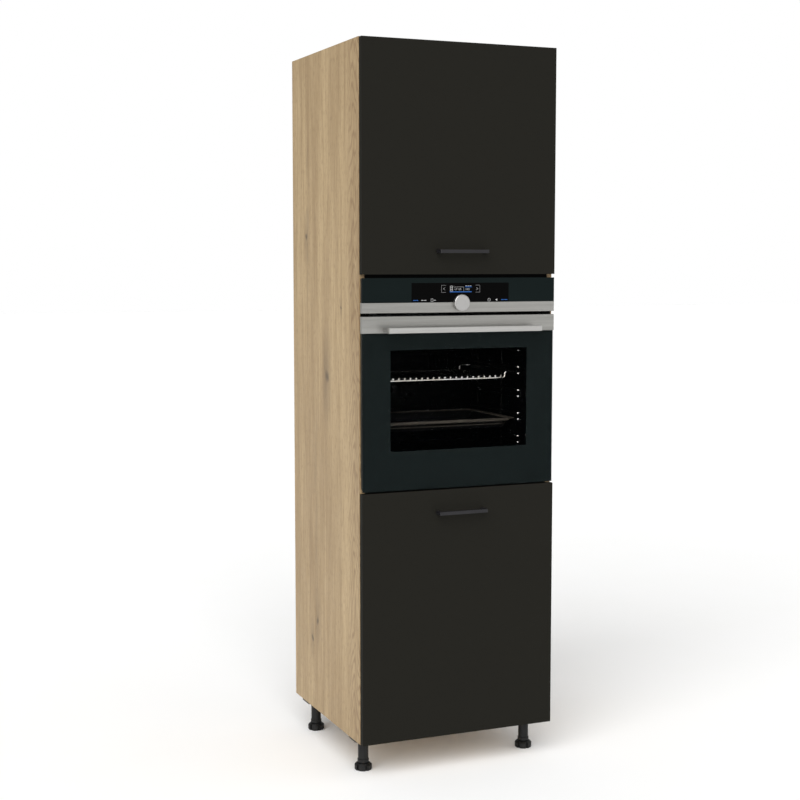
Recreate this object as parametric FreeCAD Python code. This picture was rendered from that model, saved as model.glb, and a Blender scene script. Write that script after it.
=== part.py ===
"""Tall kitchen cabinet for a built-in oven: oak-finish carcass on screw feet, a lift-up
front above, a side-hung front below, and the oven with its drop-down door between them.

Units are millimetres. While the pieces are made, x = 0 is the cabinet's middle, y = 0 the
front edge of the carcass (the fronts stand at negative y) and z = 0 the floor. Each piece is
moved at the end so that the origin is the middle of the floor area.
"""

import math
import os

import FreeCAD
import Part

V = FreeCAD.Vector
X, Y, Z = V(1, 0, 0), V(0, 1, 0), V(0, 0, 1)

# Carcass
cabinet_width = 600.0
carcass_depth = 557.0
board = 16.0
back_board = 3.0
back_inset = 2.0
niche_spare = 5.0
back_overhang = 45.0
shelf_setback = 30.0
shelf_end_gap = 1.0
lower_shelf_height = 348.0
upper_shelf_height = 300.0

# Fronts and the gaps between them
front_thickness = 18.0
front_gap = 2.0
side_reveal = 1.0
end_reveal = 1.5
lower_front_height = 716.0
upper_front_height = 642.0
oven_side_reveal = 2.0
oven_front_height = 595.0
gap_below_oven = 4.0
gap_above_oven = 10.0
oven_seat_rise = 6.5

# Feet
leg_height = 100.0
leg_travel = 50.0
leg_side_inset = 40.0
leg_front_inset = 78.0
leg_rear_inset = 75.0
leg_flange = 70.0
leg_flange_thickness = 9.0
leg_rib_drop = 8.0
leg_rib_reach = 25.0
leg_rib_thickness = 2.0
leg_tube_radius = 15.0
leg_spindle_radius = 10.0
leg_running_gap = 0.3
foot_radius = 25.0
foot_neck_radius = 13.0
foot_neck_height = 3.0
foot_height = 20.0
foot_collar_radius = 16.5
foot_collar_height = 12.0
foot_notches = 6
foot_notch_width = 6.0
foot_notch_depth = 5.0

# Front handles: square bar bent back at both ends
handle_length = 150.0
handle_height = 9.5
handle_bar_depth = 8.0
handle_leg_width = 9.0
handle_reach = 30.0
handle_bend = 3.0
handle_edge_distance = 64.0

# Cam fasteners, dowels and shelf pins
cam_radius = 7.4
cam_height = 12.2
cam_setback = 34.0
cam_inset = 60.0
cam_gap = 0.1
cam_bolt_radius = 3.2
cam_bolt_bite = 10.5
dowel_radius = 4.0
dowel_bite = 11.0
dowel_length = 35.0
dowel_from_cam = 32.0
pin_radius = 2.5
pin_bite = 8.0
pin_reach = 10.0
pin_inset = 55.0
pin_row_pitch = 32.0
pin_row_steps = 3
pin_collar = 1.5

# Wall brackets
bracket_leg = 40.0
bracket_width = 24.0
bracket_thickness = 2.0
bracket_inset = 80.0
wall_bolt_radius = 3.2

# Concealed cup hinges, in the hinge's own frame: e runs from the front's edge towards its
# free edge, v runs from the front's back face into the cabinet, w runs along the turning axis
hinge_spread = 400.0
pivot_e = 6.0
pivot_v = -10.0
opening_angle = 95.0
cup_radius = 17.4
cup_bore_gap = 0.1
cup_depth = 11.4
cup_bore_depth = 12.0
cup_wall = 0.9
cup_edge_distance = 3.5
cup_wing_span = 62.0
cup_wing_depth = 18.0
cup_flange = 0.9
link_width = 10.0
link_plate = 1.9
link_eye_radius = 1.6
link_bow = 3.0
arm_pin_radius = 1.0
arm_pin_gap = 0.1
arm_pivot_distance = 20.0
cup_pivot_radius = 5.0
cup_pivot_angle = 60.0
cheek_gap = 0.6
cheek_thickness = 1.8
arm_nose_radius = 3.0
arm_height = 12.0
arm_length = 62.0
arm_front_setback = 4.0
plate_thickness = 2.0
plate_length = 38.0
plate_width = 52.0

# Gas struts of the lift-up front
strut_cylinder_radius = 9.0
strut_rod_radius = 3.4
strut_rod_gap = 0.1
strut_end_radius = 6.5
strut_neck = 10.0
strut_neck_radius = 3.2
strut_end_width = 7.0
strut_cylinder_length = 150.0
strut_pivot_back = 186.0
strut_pivot_drop = 176.0
strut_front_drop = 56.0
strut_front_stand = 22.0
strut_plate_thickness = 2.0
strut_plate_size = 26.0
strut_stud_radius = 3.0
strut_stud_gap = 0.15
strut_side_gap = 3.0
strut_open_gap = 0.4

# Oven front
glass_thickness = 4.0
mask_thickness = 0.8
control_height = 97.0
control_trim_height = 29.0
vent_gap = 9.0
door_trim_height = 46.5
trim_thickness = 6.0
trim_bevel = 0.8
trim_cheek = 1.5
display_width = 302.0
display_height = 54.0
display_thickness = 0.7
window_side_cover = 27.5
window_height_cover = 73.0
window_rise = 111.0
control_box_inset = 2.0
control_box_wall = 2.0
control_box_gap = 1.0

# Oven door inside and its hinge
door_axis_rise = 8.5
door_axis_front = 12.0
door_swing_gap = 0.2
stile_width = 30.0
stile_thickness = 12.5
door_frame_inset = 2.0
rail_height = 34.0
door_bottom_rail_rise = 24.0
inner_glass_outset = 4.0
inner_glass_thickness = 4.0
inner_glass_overlap = 12.0
door_pin_radius = 1.8
door_pin_gap = 0.08
door_pin_bite = 8.0
hinge_bracket_thickness = 4.0
hinge_bracket_gap = 1.0
hinge_bracket_foot = 24.0
hinge_bracket_height = 30.0

# Oven handle and knob
oven_handle_inset = 62.0
oven_handle_height = 16.5
oven_handle_depth = 12.0
oven_handle_reach = 45.0
oven_handle_post = 13.0
oven_handle_round = 2.5
knob_radius = 23.5
knob_depth = 13.0
knob_bevel = 1.5
knob_gap = 0.6
knob_drop = 2.2
knob_shaft_radius = 3.0
knob_shaft_gap = 0.6
knob_shaft_length = 26.0
lug_width = 30.0
lug_height = 12.0
boss_size = 22.0
boss_depth = 11.0

# Oven body
casing_side_gap = 6.0
casing_head_gap = 20.0
casing_rear_gap = 27.0
casing_sheet = 1.2
muffle_side_wool = 38.0
muffle_head = 153.5
muffle_rear_wool = 120.0
muffle_rise = 84.5
muffle_wall = 2.0
muffle_round = 18.0
flange_inset = 2.0
flange_below = 74.0
flange_above = 44.0
gasket_width = 9.0
gasket_outset = 7.0
gasket_gap = 0.3
strip_width = 24.0
strip_thickness = 1.5
fixing_screw_radius = 2.2
fixing_screw_head_radius = 4.2
fixing_screw_length = 22.0
terminal_width = 90.0
terminal_height = 50.0
terminal_depth = 18.0
inlet_radius = 6.0
inlet_depth = 12.0

# Inside the oven
ladder_wire = 2.5
ladder_levels = 5
ladder_first_rise = 25.0
ladder_head = 60.0
ladder_pair = 18.5
ladder_front = 68.0
ladder_upright_inset = 110.0
ladder_rear_room = 100.0
ladder_wall_gap = 8.0
ladder_runner_offset = 4.5
rack_level = 3
rack_wire = 3.0
rack_bar = 2.4
rack_bar_sink = 0.6
rack_bar_pitch = 18.0
rack_side_gap = 17.0
rack_rear_room = 98.0
rack_corner = 18.0
rack_grid_inset = 45.0
rack_bend = 7.0
rack_drop = 17.0
tray_level = 1
tray_side_gap = 14.0
tray_depth = 28.0
tray_sheet = 1.2
tray_rim = 15.0
tray_draft = 10.0
tray_corner = 22.0
rest_gap = 0.3
fan_cover_side = 40.0
fan_cover_room = 157.0
fan_cover_sheet = 1.5
fan_cover_depth = 14.0
fan_slots = 9
fan_slot_width = 6.0
fan_slot_height = 46.0
fan_slot_pitch = 13.0
fan_hole_radius = 52.0
fan_hole_spokes = 8
element_radius = 3.2
element_loops = 4
element_side = 58.0
element_room = 110.0
element_drop = 22.0
lamp_radius = 20.0
lamp_depth = 9.0
lamp_rise = 6.0

# Places that follow from the sizes
half_width = cabinet_width / 2
inside = half_width - board
carcass_bottom = leg_height
lower_front_bottom = carcass_bottom + end_reveal
oven_bottom = lower_front_bottom + lower_front_height + gap_below_oven
oven_top = oven_bottom + oven_front_height
upper_front_bottom = oven_top + gap_above_oven
upper_front_top = upper_front_bottom + upper_front_height
carcass_top = upper_front_top + end_reveal
seat = oven_bottom + oven_seat_rise
niche_height = oven_front_height + niche_spare
niche_top = seat + niche_height
front_width = cabinet_width - 2 * side_reveal
bracket_spacing = cabinet_width - 2 * bracket_inset
front_back_face = -front_gap
front_face = front_back_face - front_thickness
handle_front = front_face - handle_reach
oven_handle_front = front_face - oven_handle_reach
rear = carcass_depth + back_board
middle_y = (min(oven_handle_front, handle_front) + rear) / 2
leg_places = {
    "front_left": (-half_width + leg_side_inset, leg_front_inset),
    "front_right": (half_width - leg_side_inset, leg_front_inset),
    "rear_left": (-half_width + leg_side_inset, carcass_depth - leg_rear_inset),
    "rear_right": (half_width - leg_side_inset, carcass_depth - leg_rear_inset),
}
lower_shelf_z = carcass_bottom + board + lower_shelf_height
upper_shelf_z = niche_top + board + upper_shelf_height
door_top = oven_top - control_height - vent_gap
trim_bottom = door_top - door_trim_height
control_bottom = oven_top - control_height
knob_z = control_bottom + control_trim_height - knob_drop
door_axis_z = oven_bottom + door_axis_rise
door_axis_y = -door_axis_front
oven_front_width = cabinet_width - 2 * oven_side_reveal
oven_handle_length = oven_front_width - 2 * oven_handle_inset
control_box_width = oven_front_width - 2 * control_box_inset
door_frame_width = oven_front_width - 2 * door_frame_inset
casing_width = 2 * (inside - casing_side_gap)
casing_height = niche_height - casing_head_gap
casing_depth = carcass_depth - casing_rear_gap
flange_width = casing_width - 2 * flange_inset
muffle_width = casing_width - 2 * muffle_side_wool
muffle_height = oven_front_height - muffle_rise - muffle_head
muffle_depth = casing_depth - muffle_rear_wool
inner_glass_width = muffle_width + 2 * inner_glass_outset
window_width = muffle_width - 2 * window_side_cover
window_height = muffle_height - window_height_cover
ladder_pitch = (muffle_height - ladder_first_rise - ladder_head) / (ladder_levels - 1)
ladder_length = muffle_depth - ladder_rear_room
rack_width = muffle_width - 2 * rack_side_gap
rack_depth = muffle_depth - rack_rear_room
rack_bars = int((rack_width - 2 * rack_grid_inset) / rack_bar_pitch) + 1
tray_width = muffle_width - 2 * tray_side_gap
fan_cover_width = muffle_width - 2 * fan_cover_side
fan_cover_height = muffle_height - fan_cover_room
element_pitch = (muffle_width - 2 * element_side) / (2 * element_loops - 1)
element_length = muffle_depth - element_room
muffle_bottom = oven_bottom + muffle_rise
muffle_top = muffle_bottom + muffle_height


# Plain shapes
def box(x0, x1, y0, y1, z0, z1):
    return Part.makeBox(x1 - x0, y1 - y0, z1 - z0, V(x0, y0, z0))


def rod(radius, start, end):
    return Part.makeCylinder(radius, (end - start).Length, start, end - start)


def fuse(shapes):
    whole = shapes[0].multiFuse(shapes[1:]) if len(shapes) > 1 else shapes[0]
    return whole.removeSplitter()


def group(shapes):
    return Part.makeCompound(shapes)


def mirrored(shape):
    return shape.mirror(V(0, 0, 0), X)


def both_sides(shape):
    return group([shape, mirrored(shape)])


def face_of(points):
    return Part.Face(Part.makePolygon([*points, points[0]]))


def edges_along(shape, direction):
    return [
        edge
        for edge in shape.Edges
        if edge.Curve.TypeId == "Part::GeomLine"
        and abs(abs(edge.tangentAt(edge.FirstParameter).dot(direction)) - 1) < 1e-6
    ]


def rounded_box(x0, x1, y0, y1, z0, z1, radius, direction):
    solid = box(x0, x1, y0, y1, z0, z1)
    return solid.makeFillet(radius, edges_along(solid, direction))


# Carcass boards with their bores
def fixed_boards():
    """Bottom height of each board that runs between the sides, and the side its cams show on."""
    return {
        "bottom_panel": (carcass_bottom, -1),
        "oven_shelf": (seat - board, -1),
        "niche_top_shelf": (niche_top, 1),
        "top_panel": (carcass_top - board, 1),
    }


def cam_depths():
    return [cam_inset, carcass_depth - cam_inset]


def cam_lock(side, y, z, facing, radius, height):
    """Cylinder of a cam in a board whose bottom is at z, sunk from the face that it shows on."""
    mouth = z + board if facing > 0 else z
    x = side * (inside - cam_setback)
    return rod(radius, V(x, y, mouth), V(x, y, mouth - facing * height))


def cam_bolt(side, y, z, radius, clearance, from_cam_middle):
    start = side * (inside + cam_bolt_bite + clearance)
    end = side * (inside - cam_setback + from_cam_middle)
    return rod(radius, V(start, y, z + board / 2), V(end, y, z + board / 2))


def dowel(side, y, z, clearance):
    start = side * (inside + dowel_bite + clearance)
    end = side * (inside + dowel_bite - dowel_length - clearance)
    height = z + board / 2
    return rod(dowel_radius, V(start, y + dowel_from_cam, height), V(end, y + dowel_from_cam, height))


def joint_places():
    return [
        (name, side, y, z, facing)
        for name, (z, facing) in fixed_boards().items()
        for side in (-1, 1)
        for y in cam_depths()
    ]


def fixed_board(name):
    z = fixed_boards()[name][0]
    board_shape = box(-inside, inside, 0, carcass_depth, z, z + board)
    cuts = []
    for place, side, y, height, facing in joint_places():
        if place == name:
            cuts.append(cam_lock(side, y, height, facing, cam_radius + cam_gap, cam_height + cam_gap))
            cuts.append(cam_bolt(side, y, height, cam_bolt_radius + cam_gap, 0, 0))
            cuts.append(dowel(side, y, height, cam_gap))
    return board_shape.cut(cuts)


def cam_locks():
    """Each cam shows a cross slot for the screwdriver."""
    cams = []
    slot_long, slot_short, slot_deep = cam_radius, cam_radius / 5, cam_height / 5
    for _, side, y, z, facing in joint_places():
        cam = cam_lock(side, y, z, facing, cam_radius, cam_height)
        x = side * (inside - cam_setback)
        mouth = z + board if facing > 0 else z
        low, high = sorted((mouth, mouth - facing * slot_deep))
        along = box(x - slot_long / 2, x + slot_long / 2, y - slot_short / 2, y + slot_short / 2, low, high)
        across = box(x - slot_short / 2, x + slot_short / 2, y - slot_long / 2, y + slot_long / 2, low, high)
        cams.append(cam.cut([along, across]))
    return group(cams)


def cam_bolts():
    clear = cam_radius + cam_gap
    return group([cam_bolt(side, y, z, cam_bolt_radius, 0, clear) for _, side, y, z, _ in joint_places()])


def dowels():
    return group([dowel(side, y, z, 0) for _, side, y, z, _ in joint_places()])


def pin_depths():
    return [pin_inset, carcass_depth - pin_inset]


def shelf_heights():
    return [lower_shelf_z, upper_shelf_z]


def side_panel(side):
    outer, inner = side * half_width, side * inside
    panel = box(*sorted((outer, inner)), 0, carcass_depth, carcass_bottom, carcass_top)
    cuts = []
    for _, place, y, z, _ in joint_places():
        if place == side:
            cuts.append(cam_bolt(side, y, z, cam_bolt_radius, cam_gap, 0))
            cuts.append(dowel(side, y, z, cam_gap))
    for shelf_z in shelf_heights():
        for y in pin_depths():
            for step in range(pin_row_steps):
                z = shelf_z - pin_radius + (step - (pin_row_steps - 1) / 2) * pin_row_pitch
                cuts.append(rod(pin_radius, V(inner, y, z), V(inner + side * (pin_bite + cam_gap), y, z)))
    for z in fixing_screw_heights():
        x = side * fixing_screw_x()
        cuts.append(rod(fixing_screw_radius, V(x, 0, z), V(x, fixing_screw_length, z)))
    return panel.cut(cuts)


def shelf_pins():
    pins = []
    for shelf_z in shelf_heights():
        for y in pin_depths():
            for side in (-1, 1):
                z = shelf_z - pin_radius
                wall = side * inside
                stem = rod(pin_radius, V(wall + side * pin_bite, y, z), V(wall - side * pin_reach, y, z))
                lip = rod(pin_radius * 1.8, V(wall, y, z), V(wall - side * pin_collar, y, z))
                half = box(
                    *sorted((wall, wall - side * pin_collar)),
                    y - 2 * pin_radius,
                    y + 2 * pin_radius,
                    z - 2 * pin_radius,
                    z + pin_radius,
                )
                pins.append(fuse([stem, lip.common(half)]))
    return group(pins)


def loose_shelf(z):
    """Shelf that lies on four pins, clear of their collars."""
    half = inside - pin_collar - shelf_end_gap
    return box(-half, half, shelf_setback, carcass_depth - back_inset, z, z + board)


def wall_bolt_holes(y0, y1):
    z = carcass_top - board - bracket_leg / 2
    return [
        rod(wall_bolt_radius, V(side * bracket_spacing / 2, y0, z), V(side * bracket_spacing / 2, y1, z))
        for side in (-1, 1)
    ]


def back_board_sheet(z0, z1):
    half = half_width - back_inset
    return box(-half, half, carcass_depth, rear, z0, z1)


def back_boards():
    """Hardboard behind the two cupboards; most of the oven's niche stays open for air."""
    upper = back_board_sheet(niche_top - back_overhang, carcass_top - back_inset)
    lower = back_board_sheet(carcass_bottom + back_inset, seat - back_inset)
    return group([upper.cut(wall_bolt_holes(carcass_depth, rear)), lower])


def wall_brackets():
    """Steel angles under the top board, one leg on the board and one on the back."""
    ceiling = carcass_top - board
    brackets = []
    for side in (-1, 1):
        x = side * bracket_spacing / 2
        x0, x1 = x - bracket_width / 2, x + bracket_width / 2
        flat = box(x0, x1, carcass_depth - bracket_leg, carcass_depth, ceiling - bracket_thickness, ceiling)
        front = carcass_depth - bracket_thickness
        upright = box(x0, x1, front, carcass_depth, ceiling - bracket_leg, ceiling)
        brackets.append(fuse([flat, upright]).cut(wall_bolt_holes(0, rear)))
    return group(brackets)


# Feet
def leg_socket(x, y):
    """Screwed-on flange with the tube that the foot's spindle runs in."""
    top = carcass_bottom
    bottom = foot_height + foot_collar_height
    half = leg_flange / 2
    corner = leg_flange / 6
    flange = rounded_box(
        x - half, x + half, y - half, y + half, top - leg_flange_thickness, top, corner, Z
    )
    tube = rod(leg_tube_radius, V(x, y, bottom), V(x, y, top))
    bore = rod(leg_spindle_radius + leg_running_gap, V(x, y, bottom), V(x, y, top - leg_flange_thickness))
    rib_bottom = top - leg_flange_thickness - leg_rib_drop
    reach, thin = leg_rib_reach, leg_rib_thickness / 2
    ribs = [
        box(x - reach, x + reach, y - thin, y + thin, rib_bottom, top),
        box(x - thin, x + thin, y - reach, y + reach, rib_bottom, top),
    ]
    return fuse([flange, tube, *ribs]).cut(bore)


def leg_sockets():
    return group([leg_socket(x, y) for x, y in leg_places.values()])


def leg_foot(x, y):
    """Round notched foot, collar and spindle turned in one."""
    top = carcass_bottom - leg_flange_thickness - leg_running_gap
    collar_top = foot_height + foot_collar_height - leg_running_gap
    bevel = foot_radius / 10
    outline = [
        V(0, 0, 0),
        V(foot_radius - bevel, 0, 0),
        V(foot_radius, 0, bevel),
        V(foot_radius, 0, foot_height - 2 * bevel),
        V(foot_radius - 2 * bevel, 0, foot_height),
        V(foot_neck_radius, 0, foot_height),
        V(foot_neck_radius, 0, foot_height + foot_neck_height),
        V(foot_collar_radius, 0, foot_height + foot_neck_height),
        V(foot_collar_radius, 0, collar_top),
        V(leg_spindle_radius, 0, collar_top),
        V(leg_spindle_radius, 0, top - bevel),
        V(leg_spindle_radius - bevel, 0, top),
        V(0, 0, top),
    ]
    foot = face_of(outline).revolve(V(0, 0, 0), Z, 360)
    notch = box(
        foot_radius - foot_notch_depth,
        foot_radius + foot_notch_depth,
        -foot_notch_width / 2,
        foot_notch_width / 2,
        -1,
        foot_height + 1,
    )
    notches = []
    for turn in range(foot_notches):
        cut = notch.copy()
        cut.rotate(V(0, 0, 0), Z, 360 * (turn + 0.5) / foot_notches)
        notches.append(cut)
    foot = foot.cut(notches)
    foot.translate(V(x, y, 0))
    return foot


# Fronts, their handles and handle screws
def handle_height_of(front):
    if front == "upper":
        return upper_front_bottom + handle_edge_distance
    return lower_front_bottom + lower_front_height - handle_edge_distance


def handle(front):
    """Flat outline of the bent bar, extruded to the bar's height, with eased outer corners."""
    z = handle_height_of(front)
    half = handle_length / 2
    back = front_face
    bar_back = handle_front + handle_bar_depth
    inner = half - handle_leg_width
    outline = [
        V(-half, back, 0),
        V(-half, handle_front, 0),
        V(half, handle_front, 0),
        V(half, back, 0),
        V(inner, back, 0),
        V(inner, bar_back, 0),
        V(-inner, bar_back, 0),
        V(-inner, back, 0),
    ]
    solid = face_of(outline).extrude(Z * handle_height)
    corners = [
        edge
        for edge in edges_along(solid, Z)
        if edge.CenterOfMass.y < bar_back + 0.1 * handle_bar_depth
    ]
    solid = solid.makeFillet(min(handle_bend, handle_leg_width / 3), corners)
    solid.translate(V(0, 0, z - handle_height / 2))
    return solid


def front_panel(front):
    if front == "upper":
        z0, z1 = upper_front_bottom, upper_front_top
    else:
        z0, z1 = lower_front_bottom, lower_front_bottom + lower_front_height
    half = front_width / 2
    panel = box(-half, half, front_face, front_back_face, z0, z1)
    cuts = []
    for place in hinge_places(front):
        bore = rod(cup_radius + cup_bore_gap, V(cup_middle(), 0, 0), V(cup_middle(), -cup_bore_depth, 0))
        cuts.append(placed(bore, place))
    return panel.cut(cuts)


# Concealed hinges
def cup_middle():
    return cup_edge_distance + cup_radius


def hinge_places(front):
    """Matrix from the hinge's own frame (e, v, w) to the cabinet, for each hinge of a front."""
    places = []
    for side in (-1, 1):
        along = side * hinge_spread / 2
        if front == "upper":
            corner = V(along, front_back_face, upper_front_top)
            e_axis = -Z
        else:
            middle = lower_front_bottom + lower_front_height / 2
            corner = V(front_width / 2, front_back_face, middle + along)
            e_axis = -X
        w_axis = e_axis.cross(Y)
        places.append(
            FreeCAD.Matrix(
                e_axis.x, Y.x, w_axis.x, corner.x,
                e_axis.y, Y.y, w_axis.y, corner.y,
                e_axis.z, Y.z, w_axis.z, corner.z,
                0, 0, 0, 1,
            )
        )
    return places


def placed(shape, matrix):
    moved = shape.copy()
    moved.transformShape(matrix)
    return moved


def hinged(front, solid):
    return group([placed(solid, matrix) for matrix in hinge_places(front)])


def polar(radius, degrees):
    angle = math.radians(degrees)
    return V(radius * math.cos(angle), radius * math.sin(angle), 0)


def hinge_pivot():
    return V(pivot_e, pivot_v, 0)


def cup_pivot(opened):
    """Where the link meets the cup, with the front turned by that angle."""
    return hinge_pivot() + polar(cup_pivot_radius, cup_pivot_angle - opened)


def arm_pivot():
    """On the line that halves the cup pivot's travel, so the link has one length at both ends."""
    return hinge_pivot() + polar(arm_pivot_distance, cup_pivot_angle - opening_angle / 2)


def link_turn():
    """Degrees that the link turns while the front opens fully."""
    closed, opened = (cup_pivot(angle) - arm_pivot() for angle in (0, opening_angle))
    return math.degrees(closed.getAngle(opened))


def hinge_cup():
    """Pressed bowl in the front's bore, its flange with two wings, and the stubs of the cup pivot."""
    middle = V(cup_middle(), 0, 0)
    bowl = rod(cup_radius, middle, middle - Y * cup_depth)
    hollow = rod(cup_radius - cup_wall, middle + Y, middle - Y * (cup_depth - cup_wall))
    rim = rod(cup_radius + cup_wall, middle, middle + Y * cup_flange)
    wing = rounded_box(
        middle.x - cup_wing_depth / 2,
        middle.x + cup_wing_depth / 2,
        0,
        cup_flange,
        -cup_wing_span / 2,
        cup_wing_span / 2,
        cup_wing_depth / 3,
        Y,
    )
    cup = fuse([bowl, rim, wing]).cut(hollow)
    pivot = cup_pivot(0)
    stub_start = link_width / 2 + cheek_gap
    stubs = []
    for side in (-1, 1):
        full = rod(
            link_eye_radius,
            V(pivot.x, pivot.y, side * stub_start),
            V(pivot.x, pivot.y, side * (cup_radius - cup_wall / 2)),
        )
        stubs.append(full.common(rod(cup_radius - cup_wall / 2, middle, middle - Y * cup_depth)))
    return fuse([cup, *stubs])


def hinge_link():
    """Goose-neck plate from the arm's pin to the cup pivot, bowed so that it passes the bore's rim."""
    start = arm_pivot()
    along = cup_pivot(0) - start
    length = along.Length
    along.normalize()
    bow = V(-along.y, along.x, 0) * link_bow
    path = [
        start,
        start + along * (length / 8) + bow,
        start + along * (length * 0.7) + bow,
        start + along * length,
    ]
    half = link_width / 2
    half_plate = link_plate / 2
    pieces = []
    for first, second in zip(path, path[1:]):
        run = second - first
        across = V(-run.y, run.x, 0)
        across.normalize()
        across = across * half_plate
        strip = face_of([first + across, second + across, second - across, first - across])
        strip.translate(-Z * half)
        pieces.append(strip.extrude(Z * link_width))
    for point in path[1:3]:
        pieces.append(rod(half_plate, point - Z * half, point + Z * half))
    for point in (path[0], path[3]):
        pieces.append(rod(link_eye_radius, point - Z * half, point + Z * half))
    bore = rod(arm_pin_radius + arm_pin_gap, start - Z * link_width, start + Z * link_width)
    return fuse(pieces).cut(bore)


def hinge_arm(face):
    """Mounting plate on the board at e = face, channel arm with two cheeks, and the arm's pin."""
    pivot = arm_pivot()
    inner = link_width / 2 + cheek_gap
    outer = inner + cheek_thickness
    seat_e = face + plate_thickness
    top = seat_e + arm_height
    front = front_gap + arm_front_setback
    back = front_gap + arm_length
    plate = rounded_box(
        face, seat_e, back - plate_length, back, -plate_width / 2, plate_width / 2, plate_length / 5, X
    )
    pieces = [plate]
    for side in (-1, 1):
        low, high = sorted((side * inner, side * outer))
        pieces.append(box(seat_e, top, front, back, low, high))
        neck = [
            V(pivot.x - arm_nose_radius, pivot.y, low),
            V(pivot.x + arm_nose_radius, pivot.y, low),
            V(top, front + arm_front_setback, low),
            V(seat_e, front + arm_front_setback, low),
            V(seat_e, front, low),
        ]
        pieces.append(face_of(neck).extrude(Z * cheek_thickness))
        nose_start = V(pivot.x, pivot.y, low)
        pieces.append(rod(arm_nose_radius, nose_start, nose_start + Z * cheek_thickness))
    pieces.append(box(top - cheek_thickness, top, front + 2 * arm_front_setback, back, -outer, outer))
    pieces.append(rod(arm_pin_radius, pivot - Z * outer, pivot + Z * outer))
    return fuse(pieces)


# Gas struts
def strut_x():
    return inside - strut_plate_thickness - strut_side_gap - strut_cylinder_radius


def flap_axis():
    """Turning axis of the lift-up front, seen from the side as (y, z)."""
    return front_back_face + pivot_v, upper_front_top - pivot_e


def strut_anchor():
    return V(strut_x(), strut_pivot_back, flap_axis()[1] - strut_pivot_drop)


def strut_front_point(opened):
    """Pivot of the rod's end on the front, with the front turned by that angle."""
    y, z = flap_axis()
    ry = front_back_face + strut_front_stand - y
    rz = -strut_front_drop
    turn = math.radians(opened)
    return V(
        strut_x(),
        y + ry * math.cos(turn) + rz * math.sin(turn),
        z - ry * math.sin(turn) + rz * math.cos(turn),
    )


def strut_direction():
    run = strut_front_point(0) - strut_anchor()
    run.normalize()
    return run


def strut_stroke():
    """Length that the rod comes out while the front opens fully."""
    closed, opened = ((strut_front_point(a) - strut_anchor()).Length for a in (0, opening_angle))
    return opened - closed


def strut_swing():
    """Degrees that the strut leans forward while the front opens fully."""
    closed, opened = (strut_front_point(a) - strut_anchor() for a in (0, opening_angle))
    return math.degrees(closed.getAngle(opened))


def strut_eye(point, bore_radius):
    half = strut_end_width / 2
    eye = rod(strut_end_radius, point - X * half, point + X * half)
    return eye if bore_radius is None else eye.cut(rod(bore_radius, point - X * half, point + X * half))


def strut_cylinders():
    anchor, run = strut_anchor(), strut_direction()
    start = anchor + run * strut_neck
    tube = rod(strut_cylinder_radius, start, anchor + run * strut_cylinder_length)
    neck = rod(strut_neck_radius, anchor, start + run)
    bore = rod(
        strut_rod_radius + strut_rod_gap,
        anchor + run * (strut_neck + strut_end_radius),
        anchor + run * (strut_cylinder_length + 1),
    )
    body = fuse([tube, neck, strut_eye(anchor, None)]).cut(bore)
    half = strut_end_width
    body = body.cut(rod(strut_stud_radius + strut_stud_gap, anchor - X * half, anchor + X * half))
    return both_sides(body)


def strut_rods():
    anchor, run, end = strut_anchor(), strut_direction(), strut_front_point(0)
    start = anchor + run * (strut_neck + 2 * strut_end_radius)
    shaft = rod(strut_rod_radius, start, end)
    return both_sides(fuse([shaft, strut_eye(end, None)]))


def strut_side_plates():
    """Plate on the side panel with the stud that the cylinder's eye turns on."""
    anchor = strut_anchor()
    half = strut_plate_size / 2
    face = inside - strut_plate_thickness
    plate = rounded_box(
        face, inside, anchor.y - half, anchor.y + half, anchor.z - half, anchor.z + half, half / 2, X
    )
    stud = rod(
        strut_stud_radius,
        V(face, anchor.y, anchor.z),
        V(anchor.x - strut_end_width / 2, anchor.y, anchor.z),
    )
    return both_sides(fuse([plate, stud]))


def strut_front_plates():
    """Angle on the front's back face; its ear stands beside the rod's end."""
    point = strut_front_point(0)
    half = strut_plate_size / 2
    ear_x1 = point.x - strut_end_width / 2 - strut_open_gap
    ear_x0 = ear_x1 - strut_plate_thickness
    foot = box(
        ear_x1 - strut_plate_size,
        ear_x1,
        front_back_face,
        front_back_face + strut_plate_thickness,
        point.z - half,
        point.z + half,
    )
    ear_outline = [
        V(ear_x0, front_back_face, point.z - half),
        V(ear_x0, point.y, point.z - strut_end_radius),
        V(ear_x0, point.y, point.z + strut_end_radius),
        V(ear_x0, front_back_face, point.z + half),
    ]
    ear = face_of(ear_outline).extrude(X * strut_plate_thickness)
    nose = rod(strut_end_radius, V(ear_x0, point.y, point.z), V(ear_x1, point.y, point.z))
    return both_sides(fuse([foot, ear, nose]))


# Oven: control panel
def bevelled_strip(z0, z1):
    """Brushed trim: front plate with bevelled edges, two returns and a cheek at each end."""
    half = oven_front_width / 2
    front = front_face
    back = front + trim_thickness
    web = trim_thickness / 3
    outline = [
        V(-half, front + trim_bevel, z0),
        V(-half, front, z0 + trim_bevel),
        V(-half, front, z1 - trim_bevel),
        V(-half, front + trim_bevel, z1),
        V(-half, back, z1),
        V(-half, back, z1 - web),
        V(-half, front + web, z1 - web),
        V(-half, front + web, z0 + web),
        V(-half, back, z0 + web),
        V(-half, back, z0),
    ]
    cheek = box(half - trim_cheek, half, front + trim_bevel, stile_span()[1], z0, z1)
    profile = face_of(outline).extrude(X * oven_front_width)
    return fuse([profile, cheek, mirrored(cheek)])


def shaft_hole(radius):
    return rod(radius, V(0, front_face - 1, knob_z), V(0, 0, knob_z))


def control_trim():
    strip = bevelled_strip(control_bottom, control_bottom + control_trim_height)
    return strip.cut(shaft_hole(knob_shaft_radius + knob_shaft_gap))


def display_outline(depth):
    z0 = control_bottom + control_trim_height
    half = display_width / 2
    return box(-half, half, front_face, front_face + depth, z0, z0 + display_height)


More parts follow.
